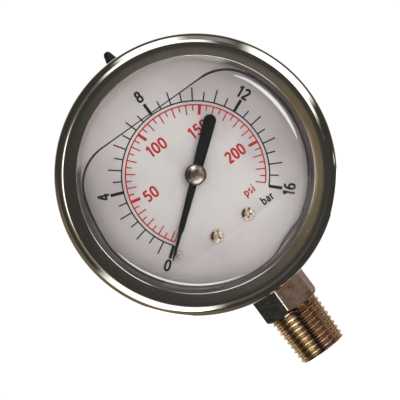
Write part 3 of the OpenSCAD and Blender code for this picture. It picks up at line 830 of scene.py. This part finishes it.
def add_thread(bm):
    """The tapered thread as a true helix: columns of points that climb by a pitch per turn."""
    around, step = 180, 14
    turns = int(THREAD_LEN / THREAD_PITCH) + 3

    def thread_r(z, phase):
        crest = THREAD_TOP_R - (THREAD_LEN - z) * TAPER
        wave = (1 - math.cos(2 * math.pi * phase)) / 2
        lead_in = 6.0 + max(0.0, z) * 1.2
        run_out = 6.3 + max(0.0, THREAD_LEN - 0.35 - z) * 1.8
        return min(crest - THREAD_DEPTH * wave**0.85, lead_in, run_out)

    made = []
    for j in range(around):
        column = []
        for i in range(-step, turns * step):
            phase = i % step / step
            z = (i // step + phase + j / around) * THREAD_PITCH - THREAD_PITCH
            inside = max(0.0, min(THREAD_LEN - 0.02, z))
            if inside != z:
                phase = (inside / THREAD_PITCH + 1 - j / around) % 1.0
            spot = stem_point(thread_r(inside, phase), 2 * math.pi * j / around, inside)
            column.append(bm.verts.new(spot))
        made.append(column)
    for j in range(around):
        # after a whole turn the columns meet one step of the pitch higher
        ahead, shift = (made[j + 1], 0) if j + 1 < around else (made[0], step)
        for i in range(len(made[0]) - 1 - shift):
            corners = [made[j][i], made[j][i + 1], ahead[i + 1 + shift], ahead[i + shift]]
            spots = {tuple(round(c, 9) for c in v.co) for v in corners}
            if len(spots) > 2:
                bm.faces.new(corners)


def add_hexagon(bm):
    """The hexagon, with its corners a little rounded and both ends chamfered by a cone."""
    corner_r = HEX_HALF / math.cos(math.pi / 6)
    angles = [math.radians(HEX_TURN + 60 * k) for k in range(6)]
    hexagon = [(corner_r * math.cos(a), corner_r * math.sin(a), 0.22) for a in angles]
    outline = rounded(hexagon, steps=6)
    fine = []
    for (x0, y0), (x1, y1) in zip(outline, outline[1:] + outline[:1]):
        parts = max(1, round(math.hypot(x1 - x0, y1 - y0) / 0.35))
        fine += [(x0 + (x1 - x0) * k / parts, y0 + (y1 - y0) * k / parts) for k in range(parts)]
    face_r = HEX_HALF - 0.12

    def section(r):
        rise = (r - face_r) * 0.68
        return (
            (6.5, THREAD_LEN - 0.02), (face_r - 0.05, THREAD_LEN), (r, THREAD_LEN + rise + 0.02),
            (r, HEX_TOP - rise - 0.02), (face_r - 0.05, HEX_TOP), (5.0, HEX_TOP),
        )

    rings = []
    for level in range(6):
        spots = [(*section(math.hypot(x, y))[level], math.atan2(y, x)) for x, y in fine]
        rings.append([bm.verts.new(stem_point(r, a, z)) for r, z, a in spots])
    for a, b in zip(rings, rings[1:]):
        join(bm, a, b)


def make_stem():
    cut = CENTRE - CASE_R - 0.05
    bm = bmesh.new()
    add_thread(bm)
    add_hexagon(bm)
    bmesh.ops.remove_doubles(bm, verts=bm.verts, dist=2e-6)
    # bore, end face, collar and the inside faces, closed to the thread's first and last rings
    ends = [
        (e, sorted(v.co.z / MM for v in e.verts)) for e in bm.edges if len(e.link_faces) == 1
    ]
    low = [e for e, z in ends if z[1] < 0.02]
    top = [e for e, z in ends if abs(z[0] - (THREAD_LEN - 0.02)) < 0.005]
    high = [e for e, z in ends if z[0] > HEX_TOP - 0.01]
    bmesh.ops.bridge_loops(bm, edges=top)

    def ring_of(r, z, steps=96):
        return [bm.verts.new(stem_point(r, 2 * math.pi * k / steps, z)) for k in range(steps)]

    def open_edges(ring):
        return [e for e in bm.edges if len(e.link_faces) == 1 and all(v in ring for v in e.verts)]

    face, bore = ring_of(PORT_R + 0.25, 0), ring_of(PORT_R, 0.25)
    deep, seat = ring_of(PORT_R, PORT_DEPTH), ring_of(1.9, PORT_DEPTH)
    seat_end, channel, channel_end = ring_of(1.9, 10), ring_of(1.0, 10), ring_of(1.0, cut)
    collar = [ring_of(NECK_R - 0.15, HEX_TOP), ring_of(NECK_R, HEX_TOP + 0.15), ring_of(NECK_R, cut)]
    for line in ((face, bore, deep, seat, seat_end, channel, channel_end), (*collar, channel_end)):
        for a, b in zip(line, line[1:]):
            join(bm, a, b)
    bm.edges.ensure_lookup_table()
    bmesh.ops.bridge_loops(bm, edges=low + open_edges(face))
    bmesh.ops.bridge_loops(bm, edges=high + open_edges(collar[0]))
    finished("stem_fitting", bm, FITTING, "case", 28, ["stem_socket"])

    # the part inside the case keeps the CAD's own shape
    bm = bmesh.new()
    bm.from_mesh(nodes["stem_socket"].data)
    bmesh.ops.bisect_plane(
        bm, geom=[*bm.verts, *bm.edges, *bm.faces], plane_co=(0, 0, cut * MM), plane_no=(0, 0, -1),
        clear_outer=True,
    )
    bmesh.ops.remove_doubles(bm, verts=bm.verts, dist=1e-7)
    rim = [e for e in bm.edges if len(e.link_faces) == 1]
    bmesh.ops.triangle_fill(bm, use_beauty=True, edges=rim)
    finished("stem_tower", bm, BRASS, "case", 25, ["stem_socket"])


# ---------------------------------------------------------------- dial print

BAR_ZERO, BAR_STEP = -135.0, 16.875
PSI_STEP = 1.1638
SCALE_START = -126.5625
BLACK_ARC, RED_ARC = 18.1, 17.15
# Each letter's width, and its strokes: lines through points, loops (centre and two radii) and
# bends (centre, two radii and two angles). A capital is 1 high.
GLYPHS = {
    "0": (0.56, [("loop", 0.28, 0.5, 0.205, 0.415)]),
    "1": (0.42, [
        ("line", (0.05, 0.76), (0.24, 0.90), (0.27, 1.0)),
        ("line", (0.27, 0.0), (0.27, 1.0)),
    ]),
    "2": (0.56, [
        ("bend", 0.28, 0.715, 0.205, 0.205, 165, -25),
        ("line", (0.47, 0.63), (0.075, 0.085)),
        ("line", (0.02, 0.085), (0.52, 0.085)),
    ]),
    "4": (0.58, [
        ("line", (0.40, 0.98), (0.055, 0.335)),
        ("line", (0.01, 0.30), (0.57, 0.30)),
        ("line", (0.41, 0.0), (0.41, 1.0)),
    ]),
    "5": (0.56, [
        ("line", (0.49, 0.915), (0.13, 0.915)),
        ("line", (0.155, 0.94), (0.10, 0.50)),
        ("bend", 0.27, 0.34, 0.21, 0.255, 138, -145),
    ]),
    "6": (0.56, [("loop", 0.28, 0.32, 0.20, 0.235), ("bend", 0.34, 0.42, 0.26, 0.50, 178, 70)]),
    "8": (0.56, [("loop", 0.28, 0.715, 0.165, 0.20), ("loop", 0.28, 0.29, 0.205, 0.215)]),
    "p": (0.50, [("line", (0.085, -0.28), (0.085, 0.72)), ("loop", 0.26, 0.35, 0.175, 0.27)]),
    "s": (0.42, [
        ("bend", 0.21, 0.505, 0.125, 0.135, 30, 250),
        ("bend", 0.20, 0.215, 0.135, 0.15, 75, -155),
    ]),
    "i": (0.22, [("line", (0.11, 0.0), (0.11, 0.70)), ("line", (0.11, 0.85), (0.11, 0.99))]),
    "b": (0.50, [("line", (0.085, 0.0), (0.085, 1.0)), ("loop", 0.26, 0.35, 0.175, 0.27)]),
    "a": (0.46, [
        ("loop", 0.21, 0.215, 0.14, 0.15),
        ("line", (0.365, 0.0), (0.365, 0.45)),
        ("bend", 0.22, 0.46, 0.145, 0.165, 0, 160),
    ]),
    "r": (0.34, [("line", (0.085, 0.0), (0.085, 0.70)), ("bend", 0.27, 0.42, 0.185, 0.20, 175, 75)]),
}


def glyph_lines(letter):
    """A letter's strokes as (closed, points) in its own box, where a capital is 1 high."""
    for stroke in GLYPHS[letter][1]:
        if stroke[0] == "line":
            yield False, [np.array(p) for p in stroke[1:]]
        elif stroke[0] == "bend":
            cx, cy, rx, ry, a0, a1 = stroke[1:]
            angles = np.radians(np.linspace(a0, a1, 15))
            yield False, [np.array((cx + rx * math.cos(a), cy + ry * math.sin(a))) for a in angles]
        else:
            cx, cy, rx, ry = stroke[1:]
            angles = np.radians(np.linspace(0, 360, 29)[:-1])
            power = 0.82
            yield True, [
                np.array((
                    cx + rx * math.copysign(abs(math.cos(a)) ** power, math.cos(a)),
                    cy + ry * math.copysign(abs(math.sin(a)) ** power, math.sin(a)),
                ))
                for a in angles
            ]


def add_word(bm, word, at, up, height, weight, back, front, narrow=1.0):
    """Writes a word centred on a point, with its letters' tops towards the bearing up."""
    a = math.radians(up)
    right = np.array((math.cos(a), -math.sin(a))) * height * narrow
    rise = np.array((math.sin(a), math.cos(a))) * height
    gap = 0.10
    width = sum(GLYPHS[c][0] for c in word) + gap * (len(word) - 1)
    x = -width / 2
    layer = 0
    for letter in word:
        for closed, points in glyph_lines(letter):
            line = [np.array(at) + right * (x + p[0]) + rise * (p[1] - 0.5) for p in points]
            add_ribbon(bm, line, weight, back, front + 0.002 * layer, closed)
            layer += 1
        x += GLYPHS[letter][0] + gap


def add_tick(bm, bearing, r0, r1, width, back, front):
    add_ribbon(bm, [polar(bearing, r0), polar(bearing, r1)], width, back, front)


def add_arc(bm, r, a0, a1, width, back, front):
    count = max(2, int(abs(a1 - a0) / 1.2))
    add_ribbon(bm, [polar(a, r) for a in np.linspace(a0, a1, count + 1)], width, back, front)


def make_print():
    back, front = DIAL_FRONT - 0.02, DIAL_FRONT + 0.02
    bm = bmesh.new()
    bar_end = BAR_ZERO + 16 * BAR_STEP
    add_arc(bm, BLACK_ARC, SCALE_START, bar_end, 0.34, back, front)
    for half_bars in range(1, 33):
        bearing = BAR_ZERO + half_bars * BAR_STEP / 2
        bold = half_bars % 8 == 0 or half_bars == 1
        reach = 21.4 if bold or half_bars % 2 == 0 else 20.3
        add_tick(bm, bearing, BLACK_ARC, reach, 0.76 if bold else 0.34, back, front + 0.004)
    # each number's bearing, and the turn that keeps the two at the ends upright
    numbers = ((4, -67.5, 0), (8, 0.0, 0), (12, 66.7, 0), (16, bar_end, 180), (0, SCALE_START, 180))
    for number, bearing, turn in numbers:
        at = polar(bearing, 23.55 if number == 8 else 23.15)
        add_word(bm, str(number), at, bearing + turn, 2.95, 0.56, back, front, 0.96)
    add_word(bm, "bar", (10.7, -14.9), 0, 2.15, 0.38, back, front)
    finished("print_black", bm, BLACK_INK, "case", 60)
    bm = bmesh.new()
    psi_end = BAR_ZERO + 230 * PSI_STEP
    add_arc(bm, RED_ARC, SCALE_START, psi_end, 0.34, back, front)
    add_tick(bm, SCALE_START, 14.8, RED_ARC, 0.26, back, front + 0.004)
    for fives in range(2, 47):
        bearing = BAR_ZERO + fives * 5 * PSI_STEP
        bold = fives % 10 == 0
        reach = 14.7 if bold or fives % 2 == 0 else 15.7
        add_tick(bm, bearing, reach, RED_ARC, 0.74 if bold else 0.31, back, front + 0.004)
    # each number's distance from the centre, and how narrow its digits are
    numbers = ((50, 11.9, 0.98), (100, 11.7, 0.98), (150, 11.2, 0.98), (200, 11.0, 0.90))
    for number, r, narrow in numbers:
        bearing = BAR_ZERO + number * PSI_STEP
        add_word(bm, str(number), polar(bearing, r), 0, 3.0, 0.54, back, front, narrow)
    add_word(bm, "psi", (8.25, -10.75), 0, 2.05, 0.36, back, front)
    finished("print_red", bm, RED_INK, "case", 60)


# ---------------------------------------------------------------- pointer, hub, pin and screws


def make_pointer():
    half_end = 1.55
    tail = 15.2 - half_end
    disc = HUB_R - 0.1
    start = math.degrees(math.asin(0.955 / disc))
    stop = 180 - math.degrees(math.asin(1.29 / disc))
    right = [(0.09, 21.8), (0.33, 19.85), (0.45, 15.0), (0.7, 13.9)]
    right += [polar(a, disc) for a in np.linspace(start, stop, 15)]
    right += [(x, u - tail) for x, u in (polar(a, half_end) for a in np.linspace(92, 180, 13))]
    outline = right + [(-x, y) for x, y in right[::-1][1:]]
    c, s = math.cos(math.radians(REST)), math.sin(math.radians(REST))
    turned = [(x * c + y * s, -x * s + y * c) for x, y in outline]
    bm = bmesh.new()
    add_slab(bm, turned, POINTER_BACK, POINTER_FRONT, 0.07)
    finished("pointer_blade", bm, POINTER_PAINT, "pointer", 30, ["pointer"])


def make_hub():
    back = POINTER_BACK - 0.5
    front = POINTER_FRONT
    shape = [
        (0.6, back, 0.05), (1.8, back, 0.1), (1.8, POINTER_BACK, 0), (1.2, POINTER_BACK, 0),
        (1.2, front, 0), (HUB_R, front, 0.04), (HUB_R, front + 0.40, 0.15),
        (HUB_R - 0.3, front + 0.64, 0.12), (HUB_R - 0.46, front + 0.62, 0.06),
        (HUB_R - 0.56, front + 0.76, 0.06), (HUB_R - 1.25, HUB_FRONT - 0.10, 0.9), (0, HUB_FRONT, 0),
    ]
    line = rounded(shape, closed=False, steps=7) + [(0, POINTER_BACK + 1.1), (0.6, POINTER_BACK + 1.1)]
    finished("pointer_bush", lathe(line, 128), HUB, "pointer", 30, ["pointer_hub"])


def make_stop_pin():
    back = DIAL_FRONT - 1.0
    shape = [
        (0, back, 0), (0.5, back, 0.05), (0.5, DIAL_FRONT, 0), (PIN_R, DIAL_FRONT, 0.03),
        (PIN_R, PIN_FRONT, 0.28), (0, PIN_FRONT, 0),
    ]
    bm = lathe(rounded(shape, closed=False, steps=7), 48, at=PIN_AT, closed=False)
    finished("zero_stop", bm, NICKEL, "case", 40, ["stop_pin"])


def add_cross_screw(bm, at, turn):
    """A pan-head screw with a cross recess: a fine polar grid whose height is the head's face."""
    height = SCREW_FRONT - DIAL_FRONT
    around, rows = 96, 26

    def face(x, y):
        r = math.hypot(x, y)
        dome = height * (1 - 0.42 * (r / SCREW_R) ** 2.6)
        a = math.radians(turn)
        p, q = abs(x * math.cos(a) + y * math.sin(a)), abs(-x * math.sin(a) + y * math.cos(a))
        wing = min(max(p - 0.19, q - 0.92), max(q - 0.19, p - 0.92))
        middle = p + q - 0.52
        depth = min(wing, middle)
        deep = max(0.0, min(1.0, 0.5 - depth / 0.10))
        floor = 0.52 - 0.28 * min(1.0, r / 0.95)
        return DIAL_FRONT + dome - floor * deep

    def ring_of(r, f=None):
        spots = [(r * math.sin(a), r * math.cos(a)) for a in np.arange(around) * (2 * math.pi / around)]
        return [
            bm.verts.new(place(at[0] + x, face(x, y) if f is None else f, at[1] + y)) for x, y in spots
        ]

    centre = bm.verts.new(place(at[0], face(0, 0), at[1]))
    rings = [ring_of(SCREW_R * i / rows) for i in range(1, rows + 1)]
    for r, down in ((SCREW_R, 0), (1.0, 0), (1.0, 4.4), (0.8, 4.6)):
        rings.append(ring_of(r, DIAL_FRONT - down))
    for k in range(around):
        bm.faces.new((centre, rings[0][k], rings[0][(k + 1) % around]))
    for a, b in zip(rings, rings[1:]):
        join(bm, a, b)
    bm.faces.new(rings[-1])


def make_dial_screws():
    bm = bmesh.new()
    for at, turn in zip(SCREW_AT, (24, 58)):
        add_cross_screw(bm, at, turn)
    finished("dial_fixing_screws", bm, NICKEL, "case", 38, ["dial_screws"])


# ---------------------------------------------------------------- liquid


def polar_at(bearing, r, f):
    x, u = polar(bearing, r)
    return x, f, u


def bump(bearing, middle, width, power=2):
    """One where the bearing is at the middle, and nothing well away from it."""
    away = (bearing - middle + 180) % 360 - 180
    return math.exp(-(abs(away / width) ** power))


def line_r(bearing):
    """How far out the dark line round the liquid lies: it wanders where the gasket is squeezed."""
    return (
        27.4 - 0.8 * bump(bearing, 160, 8.5, 3) + 0.1 * bump(bearing, 186, 14)
        - 0.25 * bump(bearing, -124, 26) - 0.35 * bump(bearing, -80, 13, 3)
    )


def liquid_outline(corner):
    """The liquid's edge: level across the top, rounded into the wall, then round the bottom."""
    base = line_r(0)
    drop = LEVEL - corner
    side = math.sqrt((base - corner) ** 2 - drop**2)
    touch = math.degrees(math.atan2(side, drop))
    line = [(x, LEVEL - 0.014 * x) for x in np.linspace(-side, side, 40)]
    line += [
        (side + corner * math.sin(a), drop + corner * math.cos(a) - 0.014 * side)
        for a in np.radians(np.linspace(2, touch - 2, 30))
    ]
    bearings = np.linspace(touch, 360 - touch, 300)[1:-1]
    fade = [min(1.0, min(b - touch, 360 - touch - b) / 12) for b in bearings]
    line += [polar(b, base + f * (line_r(b) - base)) for b, f in zip(bearings, fade)]
    line += [
        (-side - corner * math.sin(a), drop + corner * math.cos(a) + 0.014 * side)
        for a in np.radians(np.linspace(touch - 2, 2, 30))
    ]
    return line


def make_liquid():
    """The visible edge of the filling liquid, and the dark band that its rim shows."""
    line = liquid_outline(10.8)
    widths = []
    for x, u in line:
        bearing = math.degrees(math.atan2(x, u))
        if abs(bearing) < 40:
            widths.append(0.27 + 0.13 * (abs(x) / 15) ** 3)
        elif bearing > 0:
            widths.append(0.58 - 0.24 * min(1.0, max(0.0, (bearing - 80) / 60)))
        else:
            widths.append(0.44 + 0.10 * bump(bearing, -60, 22) - 0.12 * bump(bearing, -140, 30))
    bm = bmesh.new()
    add_ribbon(bm, line, widths, LENS_BACK - 0.75, LENS_BACK - 0.08, closed=True)
    finished("liquid_edge", bm, LINE, "case", 40).visible_shadow = False
    # painted highlight: a near-white glowing ribbon just inside the dark line, for the light that the
    # meniscus gathers
    bm = bmesh.new()
    for first, last, depth, width in ((56, 108, 1.25, 0.85), (190, 262, 0.55, 0.4)):
        points = np.array([p for p in line if first < math.degrees(math.atan2(*p)) % 360 < last])
        ahead = np.gradient(points, axis=0)
        inward = np.stack([ahead[:, 1], -ahead[:, 0]], 1) / np.linalg.norm(ahead, axis=1)[:, None]
        swell = np.clip(np.sin(np.linspace(0, math.pi, len(points))), 0, 1) ** 0.6 * width + 0.03
        add_ribbon(bm, points + inward * depth, swell, LENS_BACK - 0.7, LENS_BACK - 0.12)
    finished("liquid_glint", bm, GLINT, "case", 40).visible_shadow = False
    bm = bmesh.new()
    touch, count = 58.0, 320
    rings = []
    for k in range(count + 1):
        bearing = touch + (360 - 2 * touch) * k / count
        fade = min(1.0, min(k, count - k) / 20)
        inner = WALL_R - 0.03 - fade * (WALL_R - 0.05 - line_r(bearing))
        rings.append([
            bm.verts.new(place(*polar_at(bearing, r, f)))
            for r, f in (
                (WALL_R, LENS_BACK - 1.3), (inner, LENS_BACK - 1.3), (inner + 0.01, LENS_BACK - 0.5),
                (inner * 0.6 + WALL_R * 0.4, LENS_BACK - 0.3), (WALL_R, LENS_BACK - 0.36),
            )
        ])
    for a, b in zip(rings, rings[1:]):
        join(bm, a, b)
    bm.faces.new(rings[0])
    bm.faces.new(rings[-1][::-1])
    finished("liquid_rim", bm, WET, "case", 40)


# ---------------------------------------------------------------- Bourdon tube


def make_tube():
    """The hollow flattened tube, which in the gauge bends between the stem and its moving tip; here it
    is one fixed mesh.
    """
    bm = bmesh.new()

    def section(r):
        points = arc_points(0, 2.2, r, 0, 180, 12)
        return points + [(-x, -y) for x, y in points]

    columns = []
    for bearing in np.linspace(TUBE_START, TUBE_END, 161):
        columns.append([
            [bm.verts.new(place(*polar_at(bearing, TUBE_R + dr, df))) for dr, df in section(r)]
            for r in (1.3, 1.0)
        ])
    for a, b in zip(columns, columns[1:]):
        for skin_a, skin_b in zip(a, b):
            join(bm, skin_a, skin_b)
    for outer, inner in (columns[0], columns[-1]):
        join(bm, outer, inner)
    piece = finished("bourdon_spring", bm, BRONZE, None, 40, ["bourdon_tube"])
    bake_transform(piece)


# ---------------------------------------------------------------- stage, light and camera


def make_stage():
    bm = bmesh.new()
    bmesh.ops.create_grid(bm, x_segments=8, y_segments=8, size=3.0)
    floor = loose("floor", bm)
    floor.location = (0, 0, -35 * MM)
    pale = new_material(
        "pale_floor", colour=(0.9, 0.9, 0.9), rough=0.9, specular=0.1, glow_colour=(1, 1, 1), glow=0.78
    )[0]
    floor.data.materials.append(pale)
    floor.visible_glossy = False
    floor.visible_diffuse = False


# Each soft box: its bearings round the gaze, how far off the gaze it starts and ends, all in
# degrees, its strength, and how softly its sides and its ends fade.
SOFT_BOXES = (
    (58.3, 98, 12, 40, 1.9, 3, 9),
    (58.3, 92, 40, 97, 1.9, 3, 9),
    (-5, 29, 12, 40, 1.7, 3, 9),
    (3, 29, 40, 92, 1.7, 3, 9),
    (29, 41, 12, 38, 1.7, 3, 9),
    (26, 52, 40, 92, 0.24, 8, 12),
    (207, 228, 12, 54, 1.5, 4, 10),
    (228, 259, 12, 82, 1.5, 4, 10),
    (290, 325, 10, 21, 2.3, 3, 18),
    (262, 292, 12, 18, 0.3, 3, 16),
    (117, 121, 92, 103, 1.2, 2, 2),
)


def make_world():
    """Studio round the gauge: white soft boxes in a dim room, and white behind it for the camera."""
    world = bpy.data.worlds.new("studio")
    bpy.context.scene.world = world
    world.use_nodes = True
    tree = world.node_tree
    tree.nodes.clear()
    x, y, z = parts_of(tree, add_node(tree, "TexCoord", {}).outputs["Generated"])
    off = times(tree, calc(tree, "ARCCOSINE", times(tree, y, -1.0)), 180 / math.pi)
    bearing = times(tree, calc(tree, "ARCTAN2", x, z), 180 / math.pi)

    def turned_from(middle):
        away = calc(tree, "SUBTRACT", bearing, middle)
        return calc(tree, "ABSOLUTE", calc(tree, "WRAP", away, 180.0, -180.0))

    def soft_box(from_bearing, to_bearing, near, far, strength, edge, ends):
        middle, half = (from_bearing + to_bearing) / 2, (to_bearing - from_bearing) / 2
        across = span(tree, turned_from(middle), half + ends / 2, half - ends / 2)
        rise = span(tree, off, near - edge, near + edge)
        fall = span(tree, off, far + edge, far - edge)
        return times(tree, times(tree, times(tree, across, rise), fall), strength)

    bright = soft_box(*SOFT_BOXES[0])
    for box in SOFT_BOXES[1:]:
        bright = plus(tree, bright, soft_box(*box))
    # the dim room: darkest opposite the lower left, olive on one side
    near = times(tree, span(tree, off, 44.0, 22.0), span(tree, off, 4.0, 5.5))
    from_dark = span(tree, turned_from(81.0), 25.0, 130.0)
    olive = times(tree, span(tree, turned_from(306.0), 75.0, 10.0), near)
    room = plus(tree, 0.045, times(tree, times(tree, from_dark, near), 0.075))
    back = times(tree, span(tree, off, 120.0, 165.0), 0.95)
    room = plus(tree, room, back)
    room_tint = blend_colour(tree, times(tree, olive, 0.8), (1.0, 0.96, 0.88), (1.45, 1.08, 0.55))
    warm = soft_box(196, 300, 76, 118, 1.0, 12, 30)
    room = plus(tree, room, times(tree, warm, 0.10))
    room_tint = blend_colour(tree, times(tree, warm, 0.8), room_tint, (1.35, 1.02, 0.58))
    light = vector_math(tree, "SCALE", room_tint, {"Scale": room})
    white = vector_math(tree, "SCALE", (1.0, 0.985, 0.96), {"Scale": bright})

    def background(colour, strength):
        inputs = {"Color": colour, "Strength": strength}
        return add_node(tree, "Background", inputs).outputs[0]

    def chosen(factor, a, b):
        return add_node(tree, "MixShader", {0: factor, 1: a, 2: b}).outputs[0]

    studio = background(vector_math(tree, "ADD", light, {1: white}), 1.0)
    # matt surfaces are lit by an even dome, so that the dial is lit to its rim
    dome = background((1.0, 0.985, 0.975, 1), 0.292)
    plain = background((1, 1, 1, 1), 1.05)
    rays = add_node(tree, "LightPath", {}).outputs
    lit = chosen(rays["Is Diffuse Ray"], studio, dome)
    surface = chosen(rays["Is Camera Ray"], lit, plain)
    add_node(tree, "OutputWorld", {"Surface": surface})


# The camera's right and up in the row frame: the gauge lies turned a little to the left.
LEAN = math.radians(36.3)
CAM_RIGHT = Vector((math.cos(LEAN), 0, -math.sin(LEAN)))
CAM_UP = Vector((math.sin(LEAN), 0, math.cos(LEAN)))
LOOK = Vector((0, 1, 0))


def add_lamp(name, right, up, ahead, size, energy, shadow):
    """A round lamp aimed at the dial. It only shades: the soft boxes make the reflections."""
    target = Vector(place(0, DIAL_FRONT, 0))
    spot = target + CAM_RIGHT * right + CAM_UP * up - LOOK * ahead
    data = bpy.data.lights.new(name, "AREA")
    data.shape = "DISK"
    data.size = size
    data.energy = energy
    data.color = (1.0, 0.98, 0.97)
    data.use_shadow = shadow
    lamp = new_object(name, data)
    lamp.location = spot
    lamp.rotation_mode = "QUATERNION"
    lamp.rotation_quaternion = (target - spot).to_track_quat("-Z", "Y")
    lamp.visible_camera = False
    lamp.visible_glossy = False
    lamp.visible_transmission = False
    return lamp


def make_lamps():
    add_lamp("key", 0.085, 0.030, 0.200, 0.05, 0.059, True)
    add_lamp("near_fill", 0.060, 0.030, 0.075, 0.04, 0.0085, False)
    # small lamps round the stem, seen only as reflections in the thread
    for name, spot, energy in (
        ("stem_light", (-0.042, -0.045, 0.004), 0.0095),
        ("stem_rim_left", (-0.050, 0.026, 0.006), 0.0032),
        ("stem_rim_right", (0.050, 0.020, 0.006), 0.0034),
    ):
        glow = add_lamp(name, 0, 0, 0.1, 0.03, energy, False)
        glow.location = spot
        glow.rotation_quaternion = (Vector((0, 0, 0.006)) - Vector(spot)).to_track_quat("-Z", "Y")
        glow.visible_glossy = True
        glow.visible_diffuse = False


def make_camera():
    data = bpy.data.cameras.new("camera")
    data.sensor_width = 36
    data.lens = 167.3
    data.clip_start, data.clip_end = 0.01, 20
    camera = new_object("camera", data)
    camera.matrix_world = Matrix((
        (CAM_RIGHT.x, CAM_UP.x, -LOOK.x, -2.78 * MM),
        (CAM_RIGHT.y, CAM_UP.y, -LOOK.y, -465.75 * MM),
        (CAM_RIGHT.z, CAM_UP.z, -LOOK.z, 48.41 * MM),
        (0, 0, 0, 1),
    ))
    bpy.context.scene.camera = camera


# ---------------------------------------------------------------- build

make_camera()
make_bezel()
make_window()
make_case()
make_fill_plug()
make_stem()
make_print()
make_pointer()
make_hub()
make_stop_pin()
make_dial_screws()
make_liquid()
make_tube()

for node_name, node_object in nodes.items():
    node_object.data.materials.clear()
    node_object.data.materials.append(BY_SLOT[SLOT_OF[node_name]])

make_stage()
make_world()
make_lamps()
bpy.context.scene.view_settings.view_transform = "Standard"
